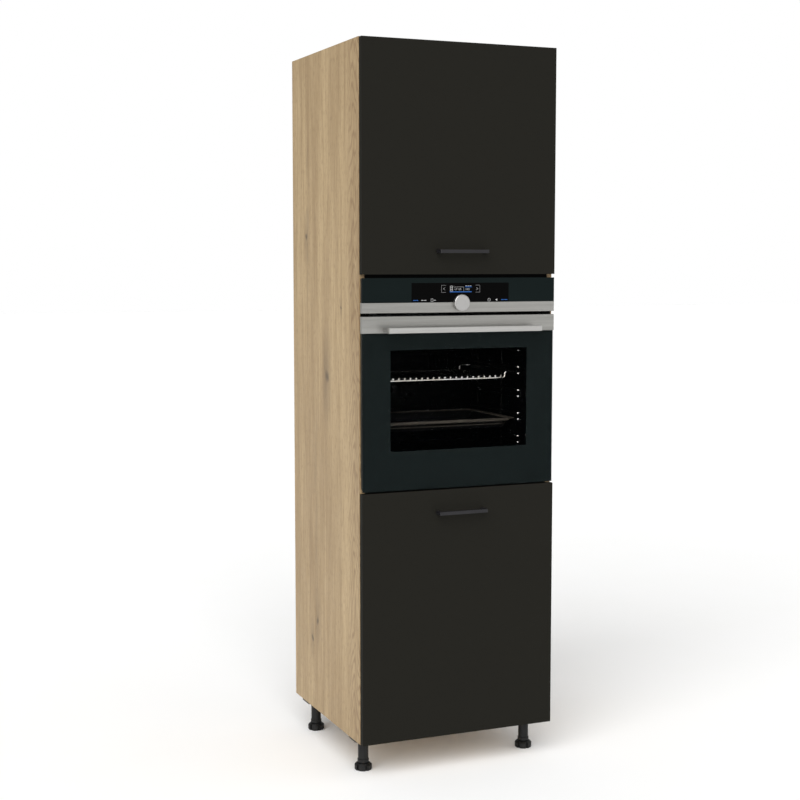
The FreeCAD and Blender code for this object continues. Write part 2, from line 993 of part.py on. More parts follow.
def control_glass():
    half = oven_front_width / 2
    z0 = control_bottom + control_trim_height
    pane = box(-half, half, front_face, front_face + glass_thickness, z0, oven_top)
    return pane.cut([display_outline(display_thickness), shaft_hole(knob_shaft_radius + knob_shaft_gap)])


def display_panel():
    return display_outline(display_thickness).cut(shaft_hole(knob_shaft_radius + knob_shaft_gap))


def control_box():
    """Moulded tray behind the panel, open to the rear, with the boss that carries the knob's shaft
    and two lugs that are screwed to the front edge of the oven's case."""
    half = control_box_width / 2
    y0 = front_face + trim_thickness
    y1 = front_back_face
    z0 = control_bottom + control_box_gap
    z1 = oven_top - control_box_gap
    wall = control_box_wall
    outer = box(-half, half, y0, y1, z0, z1)
    step = box(-half, half, front_face + glass_thickness, y0, control_bottom + control_trim_height, z1)
    hollow = box(-half + wall, half - wall, y0 + wall, y1 + wall, z0 + wall, z1 - wall)
    boss_half = boss_size / 2
    boss = box(-boss_half, boss_half, y0, y0 + boss_depth, knob_z - boss_half, knob_z + boss_half)
    case_top = casing_z()[1]
    lug_end = casing_width / 2 - lug_width
    lugs = both_sides(box(lug_end - lug_width, lug_end, y0, flange_back(), case_top - lug_height, case_top))
    tray = fuse([fuse([outer, step]).cut(hollow), boss, *lugs.Solids])
    return tray.cut(shaft_hole(knob_shaft_radius + door_pin_gap))


def control_knob():
    """Turned disc with a bevelled rim and a blind bore for its shaft."""
    back = front_face - knob_gap
    front = back - knob_depth
    outline = [
        V(0, front, 0),
        V(knob_radius - knob_bevel, front, 0),
        V(knob_radius, front + knob_bevel, 0),
        V(knob_radius, back - knob_bevel / 2, 0),
        V(knob_radius - knob_bevel / 2, back, 0),
        V(0, back, 0),
    ]
    knob = face_of(outline).revolve(V(0, 0, 0), Y, 360)
    knob.translate(V(0, 0, knob_z))
    return knob.cut(rod(knob_shaft_radius, V(0, back - knob_depth / 2, knob_z), V(0, back, knob_z)))


def knob_shaft():
    start = front_face - knob_gap - knob_depth / 2
    return rod(knob_shaft_radius, V(0, start, knob_z), V(0, start + knob_shaft_length, knob_z))


# Oven: door
def door_glass():
    half = oven_front_width / 2
    pane = box(-half, half, front_face, front_face + glass_thickness, oven_bottom, trim_bottom)
    return pane.makeChamfer(trim_bevel, edges_along(pane, X)[:2] + edges_along(pane, Z)[:2])


def glass_mask():
    """Printed border behind the outer pane, with the clear window left open."""
    half = oven_front_width / 2 - trim_bevel
    y0 = front_face + glass_thickness
    z0 = oven_bottom + window_rise
    border = box(-half, half, y0, y0 + mask_thickness, oven_bottom + trim_bevel, trim_bottom)
    return border.cut(
        box(-window_width / 2, window_width / 2, y0, y0 + mask_thickness, z0, z0 + window_height)
    )


def door_trim():
    return bevelled_strip(trim_bottom, door_top)


def stile_span():
    """Front and back of the door's inner frame."""
    front = front_face + glass_thickness + mask_thickness
    return front, front + stile_thickness


def door_stiles():
    """Upright channels of the door; each has a rounded foot with the bore of the hinge pin."""
    outer = door_frame_width / 2
    inner = outer - stile_width
    y0, y1 = stile_span()
    stile = box(inner, outer, y0, y1, door_axis_z, door_top - trim_bevel)
    foot = rod(door_axis_y - y0, V(inner, door_axis_y, door_axis_z), V(outer, door_axis_y, door_axis_z))
    trim_room = box(
        inner, outer, y0, front_face + trim_thickness, trim_bottom, door_top
    )
    bore = rod(
        door_pin_radius + door_pin_gap,
        V(inner, door_axis_y, door_axis_z),
        V(inner + door_pin_bite + hinge_bracket_gap, door_axis_y, door_axis_z),
    )
    return both_sides(fuse([stile, foot]).cut([bore, trim_room]))


def door_rails():
    """Cross rails between the stiles, rebated for the inner pane."""
    half = door_frame_width / 2 - stile_width
    y0, y1 = stile_span()
    low = oven_bottom + door_bottom_rail_rise
    high = trim_bottom - trim_bevel
    rails = []
    for z0, z1, rebate0, rebate1 in (
        (low, low + rail_height, low + rail_height - inner_glass_overlap, low + rail_height),
        (high - rail_height, high, high - rail_height, high - rail_height + inner_glass_overlap),
    ):
        rail = box(-half, half, y0, y1, z0, z1)
        rails.append(rail.cut(box(-half, half, y1 - inner_glass_thickness, y1, rebate0, rebate1)))
    return group(rails)


def inner_glass():
    half = inner_glass_width / 2
    y1 = stile_span()[1]
    low = oven_bottom + door_bottom_rail_rise + rail_height - inner_glass_overlap
    high = trim_bottom - trim_bevel - rail_height + inner_glass_overlap
    return box(-half, half, y1 - inner_glass_thickness, y1, low, high)


def door_hinge_brackets():
    """Steel ears on the oven's flange; each carries the pin that the door turns on."""
    inner = door_frame_width / 2 - stile_width - hinge_bracket_gap
    x0 = inner - hinge_bracket_thickness
    round_radius = door_axis_y - stile_span()[0] - door_swing_gap
    ear = box(x0, inner, door_axis_y, 0, door_axis_z - round_radius, door_axis_z + round_radius)
    nose = rod(round_radius, V(x0, door_axis_y, door_axis_z), V(inner, door_axis_y, door_axis_z))
    foot_bottom = flange_bottom()
    foot_top = foot_bottom + hinge_bracket_height
    foot = box(x0 - hinge_bracket_foot, inner, -strip_thickness, 0, foot_bottom, foot_top)
    pin = rod(
        door_pin_radius,
        V(inner, door_axis_y, door_axis_z),
        V(inner + hinge_bracket_gap + door_pin_bite, door_axis_y, door_axis_z),
    )
    return both_sides(fuse([ear, nose, foot, pin]))


def oven_handle_z():
    return trim_bottom + trim_bevel + oven_handle_height / 2


def oven_handle_bar():
    half = oven_handle_length / 2
    z = oven_handle_z()
    return rounded_box(
        -half,
        half,
        oven_handle_front,
        oven_handle_front + oven_handle_depth,
        z - oven_handle_height / 2,
        z + oven_handle_height / 2,
        oven_handle_round,
        X,
    )


def oven_handle_posts():
    """Brackets flush with the bar's ends, with rounded front corners, seated on the trim."""
    half = oven_handle_length / 2
    z = oven_handle_z()
    rise = oven_handle_height / 2 - oven_handle_round
    post = box(
        half - oven_handle_post,
        half,
        oven_handle_front + oven_handle_depth,
        front_face,
        z - rise,
        z + rise,
    )
    return both_sides(post)


# Oven: body
def casing_z():
    return seat, seat + casing_height


def casing():
    """Sheets of the outer case: base, top, two sides and rear."""
    half = casing_width / 2
    front = flange_back()
    sheet = casing_sheet
    z0, z1 = casing_z()
    side = box(half - sheet, half, front, casing_depth, z0 + sheet, z1 - sheet)
    base = box(-half, half, front, casing_depth, z0, z0 + sheet)
    top = box(-half, half, front, casing_depth, z1 - sheet, z1)
    back = box(-half + sheet, half - sheet, casing_depth - sheet, casing_depth, z0 + sheet, z1 - sheet)
    return group([side, mirrored(side), base, top, back])


def terminal_box():
    """Mains terminal cover on the rear, with its cable inlet."""
    z0 = casing_z()[0] + terminal_height
    x0 = casing_width / 4
    cover = rounded_box(
        x0, x0 + terminal_width, casing_depth, casing_depth + terminal_depth, z0, z0 + terminal_height,
        terminal_depth / 4, Y,
    )
    mouth = V(x0 + terminal_width / 2, casing_depth + terminal_depth, z0 + terminal_height / 2)
    return cover.cut(rod(inlet_radius, mouth - Y * inlet_depth, mouth))


def flange_bottom():
    return muffle_bottom - flange_below


def flange_back():
    return muffle_wall


def muffle():
    """Enamelled cavity pressed in one with its front flange."""
    half = muffle_width / 2
    wall = muffle_wall
    flange = box(
        -flange_width / 2, flange_width / 2, 0, flange_back(), flange_bottom(), muffle_top + flange_above
    )
    depth = muffle_depth + wall
    outer = rounded_box(
        -half - wall, half + wall, 0, depth, muffle_bottom - wall, muffle_top + wall, muffle_round + wall, Y
    )
    hollow = rounded_box(-half, half, -wall, muffle_depth, muffle_bottom, muffle_top, muffle_round, Y)
    return fuse([flange, outer]).cut(hollow)


def door_gasket():
    """Silicone ring on the flange, round the mouth of the cavity."""
    half = muffle_width / 2 + gasket_outset
    z0, z1 = muffle_bottom - gasket_outset, muffle_top + gasket_outset
    front = stile_span()[1] + gasket_gap
    corner = muffle_round + gasket_outset
    outer = rounded_box(
        -half - gasket_width, half + gasket_width, front, 0, z0 - gasket_width, z1 + gasket_width,
        corner + gasket_width, Y,
    )
    return outer.cut(rounded_box(-half, half, front - 1, 1, z0, z1, corner, Y))


def fixing_screw_x():
    return half_width - board / 2


def fixing_screw_heights():
    return [flange_bottom() + flange_below, muffle_top]


def screw_head(x, z):
    """Countersunk head, flush with the front of the fixing strip."""
    return Part.makeCone(
        fixing_screw_head_radius, fixing_screw_radius, strip_thickness, V(x, -strip_thickness, z), Y
    )


def fixing_strips():
    """Dark flange strips round the oven: ears in front of the side panels' edges, through which the
    oven is screwed in, an angle on the case that closes the gap above, and a cover on the shelf's edge."""
    outer = fixing_screw_x() + fixing_screw_head_radius
    low, high = flange_bottom() + hinge_bracket_height, control_bottom + control_trim_height
    ear = box(outer - strip_width, outer, -strip_thickness, 0, low, high)
    ears = both_sides(ear.cut([screw_head(fixing_screw_x(), z) for z in fixing_screw_heights()]))
    half = inside - rest_gap
    case_top = casing_z()[1]
    plate = box(-half, half, -strip_thickness, 0, case_top, niche_top - rest_gap)
    foot = box(-casing_width / 2, casing_width / 2, 0, lug_width, case_top, case_top + strip_thickness)
    cover = box(-half, half, -strip_thickness, 0, seat - board + rest_gap, oven_bottom + gap_below_oven)
    return group([*ears.Solids, fuse([plate, foot]), cover])


def fixing_screws():
    screws = []
    for side in (-1, 1):
        x = side * fixing_screw_x()
        for z in fixing_screw_heights():
            shank = rod(fixing_screw_radius, V(x, 0, z), V(x, fixing_screw_length, z))
            screws.append(fuse([shank, screw_head(x, z)]))
    return group(screws)


# Inside the oven
def ladder_x():
    return muffle_width / 2 - ladder_wall_gap - ladder_wire


def level_z(level):
    """Middle of the lower wire of a shelf level."""
    return muffle_bottom + ladder_first_rise + level * ladder_pitch


def shelf_ladders():
    """Hook-in wire frames: two uprights and a pair of runner wires for each level."""
    x = ladder_x()
    back = ladder_front + ladder_length
    low = level_z(0) - ladder_pair
    high = level_z(ladder_levels - 1) + 2 * ladder_pair
    wires = []
    for y in (ladder_front + ladder_upright_inset, back - 2 * ladder_pair):
        wires.append(rod(ladder_wire, V(x, y, low), V(x, y, high)))
        for z in (low + ladder_pair, high - ladder_pair / 2):
            wires.append(rod(ladder_wire, V(x, y, z), V(muffle_width / 2, y, z)))
    inner_x = x - ladder_runner_offset
    for level in range(ladder_levels):
        for z in (level_z(level), level_z(level) + ladder_pair):
            wires.append(rod(ladder_wire, V(inner_x, ladder_front, z), V(inner_x, back, z)))
    return both_sides(fuse(wires))


def rack_z():
    return level_z(rack_level) + ladder_wire + rest_gap + rack_wire


def rack_grid_z():
    """Middle of the lower rails that carry the rack's bars."""
    return rack_z() - rack_drop


def rack_bend_wire(side, y):
    """S-shaped bend from a lower rail up to the height of the side rails."""
    out = X * (side * rack_bend)
    rise = Z * rack_bend
    foot = V(side * (rack_width / 2 - rack_grid_inset), y, rack_grid_z())
    head = foot + out * 2 + Z * rack_drop
    diagonal = math.sqrt(0.5)
    route = Part.Wire(
        [
            Part.Arc(foot, foot + out * diagonal + rise * (1 - diagonal), foot + out + rise).toShape(),
            Part.LineSegment(foot + out + rise, head - out - rise).toShape(),
            Part.Arc(head - out - rise, head - out * diagonal - rise * (1 - diagonal), head).toShape(),
        ]
    )
    section = Part.Wire(Part.makeCircle(rack_wire, foot, X))
    return route.makePipeShell([section], True, False)


def wire_rack():
    """Welded grid: side rails on the runners, and front and rear rails bent down to carry the bars."""
    half = rack_width / 2
    y0 = ladder_front + rest_gap
    y1 = y0 + rack_depth
    z = rack_z()
    corner = rack_corner
    grid_half = half - rack_grid_inset
    wires = []
    for side in (-1, 1):
        wires.append(rod(rack_wire, V(side * half, y0 + corner, z), V(side * half, y1 - corner, z)))
        for y in (y0, y1):
            wires.append(rack_bend_wire(side, y))
            bend_end = side * (grid_half + 2 * rack_bend)
            wires.append(rod(rack_wire, V(bend_end, y, z), V(side * (half - corner), y, z)))
    for y in (y0, y1):
        wires.append(rod(rack_wire, V(-grid_half, y, rack_grid_z()), V(grid_half, y, rack_grid_z())))
    for x, y, turn in (
        (half - corner, y1 - corner, 0),
        (-half + corner, y1 - corner, 90),
        (-half + corner, y0 + corner, 180),
        (half - corner, y0 + corner, 270),
    ):
        bend = Part.makeTorus(corner, rack_wire, V(x, y, z), Z, 0, 360, 90)
        bend.rotate(V(x, y, z), Z, turn)
        wires.append(bend)
    top = rack_grid_z() + rack_wire + rack_bar - rack_bar_sink
    for index in range(rack_bars):
        x = (index - (rack_bars - 1) / 2) * rack_bar_pitch
        wires.append(rod(rack_bar, V(x, y0 - rack_wire, top), V(x, y1 + rack_wire, top)))
    return fuse(wires)


def tray_profile(half_x, y0, y1, z, corner):
    outline = rounded_box(-half_x, half_x, y0, y1, z, z + 1, corner, Z)
    flat = [face for face in outline.Faces if abs(face.CenterOfMass.z - z) < 1e-6]
    return flat[0].OuterWire


def baking_tray():
    """Pressed tray: drafted sides drawn down from a flat rim that rests on the runner wires."""
    half = tray_width / 2
    y0 = ladder_front + rest_gap
    y1 = y0 + rack_depth
    rim_bottom = level_z(tray_level) + ladder_wire + rest_gap
    rim_top = rim_bottom + tray_sheet
    bottom = rim_top - tray_depth
    in_x, in_y0, in_y1 = half - tray_rim, y0 + tray_rim, y1 - tray_rim
    rim = rounded_box(-half, half, y0, y1, rim_bottom, rim_top, tray_corner, Z)

    def pan(grow, top, low):
        upper = tray_profile(in_x + grow, in_y0 - grow, in_y1 + grow, top, tray_corner + grow)
        lower = tray_profile(
            in_x - tray_draft + grow,
            in_y0 + tray_draft - grow,
            in_y1 - tray_draft + grow,
            low,
            tray_corner + grow,
        )
        return Part.makeLoft([lower, upper], True, True)

    return fuse([rim, pan(tray_sheet, rim_bottom, bottom)]).cut(pan(0, rim_top, bottom + tray_sheet))


def fan_cover():
    """Plate in front of the rear fan: round intake with spokes, and outlet slots on both sides."""
    half = fan_cover_width / 2
    y1 = muffle_depth
    y0 = y1 - fan_cover_depth
    middle = (muffle_bottom + muffle_top) / 2
    z0, z1 = middle - fan_cover_height / 2, middle + fan_cover_height / 2
    sheet = fan_cover_sheet
    cover = box(-half, half, y0, y1, z0, z1)
    cover = cover.cut(box(-half + sheet, half - sheet, y0 + sheet, y1, z0 + sheet, z1 - sheet))
    intake = rod(fan_hole_radius, V(0, y0, middle), V(0, y0 + sheet, middle))
    spokes = []
    for turn in range(fan_hole_spokes // 2):
        spoke = box(
            -fan_hole_radius, fan_hole_radius, y0, y0 + sheet, middle - sheet, middle + sheet
        )
        spoke.rotate(V(0, 0, middle), Y, turn * 360 / fan_hole_spokes)
        spokes.append(spoke)
    cuts = [intake.cut(spokes)]
    for side in (-1, 1):
        for index in range(fan_slots):
            x = side * (half - fan_slot_pitch * (index + 1))
            x0, x1 = x - fan_slot_width / 2, x + fan_slot_width / 2
            for z in (z0 + fan_slot_width, z1 - fan_slot_width - fan_slot_height):
                cuts.append(box(x0, x1, y0, y0 + sheet, z, z + fan_slot_height))
    return cover.cut(cuts)


def grill_element():
    """Tubular heater under the roof, bent to and fro in one plane, its two ends into the rear wall."""
    z = muffle_top - element_drop
    turn_radius = element_pitch / 2
    y0 = (muffle_depth - element_length) / 2 + turn_radius
    y1 = y0 + element_length - 2 * turn_radius
    xs = [(index - (2 * element_loops - 1) / 2) * element_pitch for index in range(2 * element_loops)]
    edges = [Part.LineSegment(V(xs[0], muffle_depth, z), V(xs[0], y0, z)).toShape()]
    for index, (x0, x1) in enumerate(zip(xs, xs[1:])):
        at_front = index % 2 == 0
        y = y0 if at_front else y1
        crown = y - turn_radius if at_front else y + turn_radius
        edges.append(Part.Arc(V(x0, y, z), V((x0 + x1) / 2, crown, z), V(x1, y, z)).toShape())
        last = index == len(xs) - 2
        far = muffle_depth if last else (y1 if at_front else y0)
        edges.append(Part.LineSegment(V(x1, y, z), V(x1, far, z)).toShape())
    section = Part.Wire(Part.makeCircle(element_radius, V(xs[0], muffle_depth, z), Y))
    return Part.Wire(edges).makePipeShell([section], True, False)


def oven_lamp():
    """Lamp glass with a rounded front edge on the rear wall, above the fan cover."""
    z = (muffle_bottom + muffle_top + fan_cover_height) / 2 + lamp_rise + lamp_radius
    x = muffle_width / 2 - 3 * lamp_radius
    lens = rod(lamp_radius, V(x, muffle_depth, z), V(x, muffle_depth - lamp_depth, z))
    rim = [edge for edge in lens.Edges if edge.CenterOfMass.y < muffle_depth - lamp_depth + 0.1]
    return lens.makeFillet(lamp_depth * 0.6, rim[:1])


def pieces():
    """Every node's name and its shape."""
    yield "side_panel_left", side_panel(-1)
    yield "side_panel_right", side_panel(1)
    for name in fixed_boards():
        yield name, fixed_board(name)
    yield "lower_shelf", loose_shelf(lower_shelf_z)
    yield "upper_shelf", loose_shelf(upper_shelf_z)
    yield "back_boards", back_boards()
    yield "cam_locks", cam_locks()
    yield "cam_bolts", cam_bolts()
    yield "dowels", dowels()
    yield "shelf_pins", shelf_pins()
    yield "wall_brackets", wall_brackets()
    yield "leg_sockets", leg_sockets()
    for place, (x, y) in leg_places.items():
        yield "leg_foot_" + place, leg_foot(x, y)
    for front, face in (("upper", board - end_reveal), ("lower", board - side_reveal)):
        yield front + "_front", front_panel(front)
        yield front + "_handle", handle(front)
        yield front + "_hinge_cups", hinged(front, hinge_cup())
        yield front + "_hinge_links", hinged(front, hinge_link())
        yield front + "_hinge_arms", hinged(front, hinge_arm(face))
    yield "strut_cylinders", strut_cylinders()
    yield "strut_rods", strut_rods()
    yield "strut_side_plates", strut_side_plates()
    yield "strut_front_plates", strut_front_plates()
    yield "control_glass", control_glass()
    yield "control_trim", control_trim()
    yield "display_panel", display_panel()
    yield "control_box", control_box()
    yield "control_knob", control_knob()
    yield "knob_shaft", knob_shaft()
    yield "oven_door_glass", door_glass()
    yield "oven_glass_mask", glass_mask()
    yield "oven_door_trim", door_trim()
    yield "oven_door_stiles", door_stiles()
    yield "oven_door_rails", door_rails()
    yield "oven_inner_glass", inner_glass()
    yield "oven_hinge_brackets", door_hinge_brackets()
    yield "oven_handle_bar", oven_handle_bar()
    yield "oven_handle_posts", oven_handle_posts()
    yield "oven_casing", casing()
    yield "oven_terminal_box", terminal_box()
    yield "oven_muffle", muffle()
    yield "oven_door_gasket", door_gasket()
    yield "oven_fixing_strips", fixing_strips()
    yield "oven_fixing_screws", fixing_screws()
    yield "shelf_ladders", shelf_ladders()
    yield "wire_rack", wire_rack()
    yield "baking_tray", baking_tray()
    yield "fan_cover", fan_cover()
    yield "grill_element", grill_element()
    yield "oven_lamp", oven_lamp()


def travels():
    """How far the jointed pieces go, in degrees and mm."""
    yield "fronts turn", opening_angle
    yield "hinge links turn", link_turn()
    yield "struts swing", strut_swing()
    yield "strut rods slide", strut_stroke()
    yield "feet screw out", leg_travel


def main():
    os.makedirs("parts", exist_ok=True)
    for name, shape in pieces():
        shape.translate(V(0, -middle_y, 0))
        shape.exportStep(os.path.join("parts", name + ".step"))
        solids = shape.Solids
        print(f"{name}: {len(solids)} solids, {shape.Volume / 1000:.1f} cm3, valid {shape.isValid()}")
    for motion, travel in travels():
        print(f"{motion} {travel:.2f}")


if __name__ == "__main__":
    main()
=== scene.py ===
"""Looks of the tall oven cabinet: oak-decor boards, matte dark fronts, the oven and its fittings.

Metres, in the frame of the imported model: the front faces -Y, +Z is up, the floor is z = 0.
"""

import math

import bmesh
import bpy
from mathutils import Matrix, Vector


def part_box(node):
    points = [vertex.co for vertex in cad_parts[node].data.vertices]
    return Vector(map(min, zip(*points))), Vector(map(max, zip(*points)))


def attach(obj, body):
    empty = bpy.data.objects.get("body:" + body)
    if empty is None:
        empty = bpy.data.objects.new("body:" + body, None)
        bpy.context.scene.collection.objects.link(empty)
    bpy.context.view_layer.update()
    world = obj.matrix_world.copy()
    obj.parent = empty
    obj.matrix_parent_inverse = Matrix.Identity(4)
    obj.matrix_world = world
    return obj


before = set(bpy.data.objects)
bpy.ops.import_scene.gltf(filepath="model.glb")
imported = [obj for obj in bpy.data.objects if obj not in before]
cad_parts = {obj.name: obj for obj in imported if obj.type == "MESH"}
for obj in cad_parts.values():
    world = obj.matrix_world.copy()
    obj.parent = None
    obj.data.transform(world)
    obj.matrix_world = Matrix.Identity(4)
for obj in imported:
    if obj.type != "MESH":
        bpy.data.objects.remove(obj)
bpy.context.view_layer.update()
mm = 0.001

# Camera, fitted to the corners of the cabinet in an 800 by 800 picture
camera_place = Vector((-1.7856, -4.0634, 1.4578))
camera_yaw = 0.3989
camera_pitch = -0.0920
focal_pixels = 1484.5
picture_pixels = 800
sensor_mm = 36.0

# Studio: light of the room in front of the cabinet and behind it, the lamp, the floor, the camera's reach
room_front = 0.74
room_rear = 0.36
room_front_ends = -0.2
room_rear_starts = 0.5
key_strength = 2.6
key_toward = (-0.50, -0.70, 0.62)
key_spread = 60.0
floor_half_size = 40.0
floor_parts = 8
view_reach = 200.0

# Most of a noise pattern lies between these two values
noise_low = 0.3
noise_high = 0.7

# Bands of the tray's enamel, from its rim down and from its front back: worn thin on the top edge of the
# rim, a painted highlight on the lip and bead along the front
edge_band = 4.0 * mm
edge_fade = 1.0 * mm
lip_highlight_band = 10.0 * mm
lip_highlight_fade = 2.0 * mm
front_highlight_band = 24.0 * mm
front_highlight_fade = 8.0 * mm

# Marks on the oven's display; places along it are measured from its middle, spans are in millimetres
mark_relief = 0.08 * mm
mark_line = 0.75 * mm
mark_thin = 0.55 * mm
bracket_height = 20.5 * mm
bracket_arm = 14.0 * mm
bracket_middle = 53.0 * mm
bracket_top = 6.5 * mm
arrow_length = 5.5 * mm
arrow_half_height = 3.3 * mm
arrow_inset = 8.5 * mm
arrow_line = 0.5 * mm
field_rise = 3.5 * mm
field_line = 0.5 * mm
symbol_left = -33.0 * mm
symbol_right = -25.0 * mm
symbol_height = 14.8 * mm
symbol_line = 1.0 * mm
symbol_bars = 4
rule_left = -22.0 * mm
rule_rise = 11.5 * mm
divider_left = 9.0 * mm
caption_spans = ((14, 20), (21.5, 26), (27.5, 33))
caption_rise = 14.4 * mm
caption_height = 1.0 * mm
underline_span = (-34, 34)
underline_rise = -2.8 * mm
underline_height = 1.8 * mm
heat_line_span = (14, 34)
heat_line_rise = 11.4 * mm
heat_line_height = 1.4 * mm
time_left = -21.0 * mm
heat_left = 13.0 * mm
digit_rise = 3.0 * mm
digit_height = 4.8 * mm
digit_width = 3.2 * mm
digit_pitch = 5.4 * mm
digit_gap = 0.1 * mm
digit_segments = {"0": "abcdef", "1": "bc", "2": "abged", "3": "abgcd", "8": "abcdefg"}
key_rise = 5.5 * mm
dash_drop = 0.6 * mm
dash_height = 1.5 * mm
white_dashes = ((-121, -116), (-114.5, -111), (-110, -106), (-83, -77))
blue_dashes = ((-146, -141), (-140, -136.5), (-135.5, -131), (127, 133), (134, 138), (139, 147))
box_left = -92.0 * mm
box_right = -85.0 * mm
box_drop = 4.0 * mm
box_rise = 4.5 * mm
clock_middle = 89.0 * mm
clock_radius = 4.2 * mm
clock_sides = 12
minute_hand = 1.8 * mm
hour_hand = 1.5 * mm
speaker_left = 109.0 * mm
speaker_steps = 5
speaker_step = 1.15 * mm
speaker_growth = 0.6 * mm

# Small fittings
screw_radius = 3.4 * mm
screw_dome = 0.8 * mm
screw_slot = 0.7 * mm
handle_screw_inset = 4.5 * mm
buffer_radius = 4.5 * mm
buffer_height = 1.5 * mm
buffer_inset = 14.0 * mm
cup_wing_inset = 6.0 * mm
cup_screw_offset = 25.0 * mm
leg_screw_offset = 26.0 * mm
leg_flange_thickness = 9.0 * mm
runner_inset = 15.0 * mm
runner_levels = 5
runner_pair = 18.5 * mm
runner_pitch = 68.0 * mm
runner_radius = 2.55 * mm
runner_bend = 5.0 * mm
runner_bend_steps = 4
runner_stub = 4.0 * mm
lip_radius = 4.0 * mm
lip_inset = 24.0 * mm
bead_radius = 1.4 * mm
bead_back = 19.5 * mm
bead_drop = 17.5 * mm
louvre_count = 9
louvre_top = 60.0 * mm
louvre_length = 110.0 * mm
louvre_height = 7.0 * mm
louvre_reach = 4.0 * mm
louvre_pitch = 18.0 * mm
louvre_rounds = 6


# Colour and node helpers
def srgb(code):
    """Linear colour of an sRGB hex value."""
    parts = [int(code[place:place + 2], 16) / 255 for place in (1, 3, 5)]
    linear = [part / 12.92 if part <= 0.04045 else ((part + 0.055) / 1.055) ** 2.4 for part in parts]
    return (*linear, 1.0)


def node(tree, kind, inputs=None, out=0, **settings):
    """Adds one shader node and gives back one of its outputs: settings are its fields, inputs are
    constants or sockets to link."""
    # Sockets by number: a MapRange takes 0 a value, 1 and 2 its range, 3 and 4 the new range,
    # and a Mix of colours takes 0 a share, 6 and 7 the colours, and gives output 2
    made = tree.nodes.new("ShaderNode" + kind)
    for field, value in settings.items():
        setattr(made, field, value)
    for socket, value in (inputs or {}).items():
        if isinstance(value, bpy.types.NodeSocket):
            tree.links.new(value, made.inputs[socket])
        else:
            made.inputs[socket].default_value = value
    return made.outputs[out]


def new_material(name, sockets):
    """Material with a Principled shader whose plain sockets are set."""
    made = bpy.data.materials.new(name)
    made.use_nodes = True
    shader = made.node_tree.nodes["Principled BSDF"]
    for socket, value in sockets.items():
        shader.inputs[socket].default_value = value
    return made, made.node_tree, shader


def stretched(tree, sizes_mm):
    """Object coordinates counted in grains of the given size along X, Y and Z."""
    place = node(tree, "TexCoord", out="Object")
    scale = [1 / (size * mm) for size in sizes_mm]
    return node(tree, "Mapping", {"Vector": place, "Scale": scale})


def grain(tree, sizes_mm, detail=2.0, rough=0.5, waver=0.0):
    """Noise whose grains have the given size along X, Y and Z; waver bends them."""
    place = stretched(tree, sizes_mm)
    settings = {"Vector": place, "Scale": 1.0, "Detail": detail, "Roughness": rough, "Distortion": waver}
    return node(tree, "TexNoise", settings, "Fac")


def stain(tree, ground, code, pattern, start=noise_low, end=noise_high, share=1.0):
    """Lays a colour over the ground where a pattern goes from start to end, up to the given share."""
    amount = node(tree, "MapRange", {0: pattern, 1: start, 2: end, 3: 0.0, 4: share})
    return node(tree, "Mix", {0: amount, 6: ground, 7: srgb(code)}, 2, data_type="RGBA")


def give_finish(
    tree, shader, colour, pattern=None, rough=None, depth_mm=None, span=(noise_low, noise_high)
):
    """Gives a surface its colour and, from a pattern, its least and most roughness, reached at the
    ends of the span, and a relief of a real depth."""
    tree.links.new(colour, shader.inputs["Base Color"])
    if rough:
        amount = node(tree, "MapRange", {0: pattern, 1: span[0], 2: span[1], 3: rough[0], 4: rough[1]})
        tree.links.new(amount, shader.inputs["Roughness"])
    if depth_mm:
        bump = node(tree, "Bump", {"Height": pattern, "Distance": depth_mm * mm, "Strength": 1.0})
        tree.links.new(bump, shader.inputs["Normal"])


# Boards
def oak_decor(name, along, figured=False):
    """Oak-decor melamine board, printed and pressed: tan ground, long brown streaks, fine fibres,
    short dark pores and, on a figured board, knots; it gives the eye a soft matte wood."""
    made, tree, shader = new_material(name, {"Roughness": 0.5, "Specular IOR Level": 0.25, "IOR": 1.5})

    def sizes(across, lengthwise):
        return [lengthwise if axis == along else across for axis in "XYZ"]

    bands = grain(tree, sizes(85, 1000), 2.0, 0.5, 0.4)
    streaks = grain(tree, sizes(22, 420), 3.0, 0.55, 0.5)
    fibres = grain(tree, sizes(7.0, 110), 3.0, 0.6, 0.3)
    # Real pores are 0.2 mm wide; they are drawn wider so that they show at this distance
    flecks = grain(tree, sizes(5.0, 20), 2.0, 0.55)
    pores = node(tree, "MapRange", {0: flecks, 1: 0.53, 2: 0.70, 3: 0.0, 4: 1.0})
    colour = stain(tree, srgb("#b29b77"), "#9e8766", bands, 0.36, 0.64)
    colour = stain(tree, colour, "#8b7353", streaks, 0.48, 0.70, 0.55)
    colour = stain(tree, colour, "#bca581", streaks, 0.42, 0.26, 0.45)
    colour = stain(tree, colour, "#8c7555", fibres, 0.42, 0.72, 0.45)
    colour = stain(tree, colour, "#735c42", pores, 0.0, 1.0, 0.40)
    if figured:
        colour = side_figure(tree, colour)
    give_finish(tree, shader, colour, fibres, (0.46, 0.58))
    height = node(tree, "Math", {0: fibres, 1: pores}, operation="SUBTRACT")
    bump = node(tree, "Bump", {"Height": height, "Distance": 0.06 * mm, "Strength": 1.0})
    tree.links.new(bump, shader.inputs["Normal"])
    return made


def side_knots():
    """Place and half width of the small knots on the side panels, read from the picture."""
    return [
        ((0.0, 0.198, 1.550), 11.0 * mm),
        ((0.0, 0.026, 1.143), 19.0 * mm),
        ((0.0, 0.118, 0.394), 13.0 * mm),
        ((0.0, 0.163, 0.331), 9.0 * mm),
        ((0.0, -0.092, 1.346), 5.0 * mm),
    ]


def side_streaks():
    """Place and half sizes of the long grey-brown streaks that run through the knots."""
    return [
        ((0.0, 0.190, 1.560), (13.0 * mm, 420.0 * mm)),
        ((0.0, 0.125, 0.760), (15.0 * mm, 470.0 * mm)),
        ((0.0, 0.040, 1.130), (26.0 * mm, 150.0 * mm)),
    ]


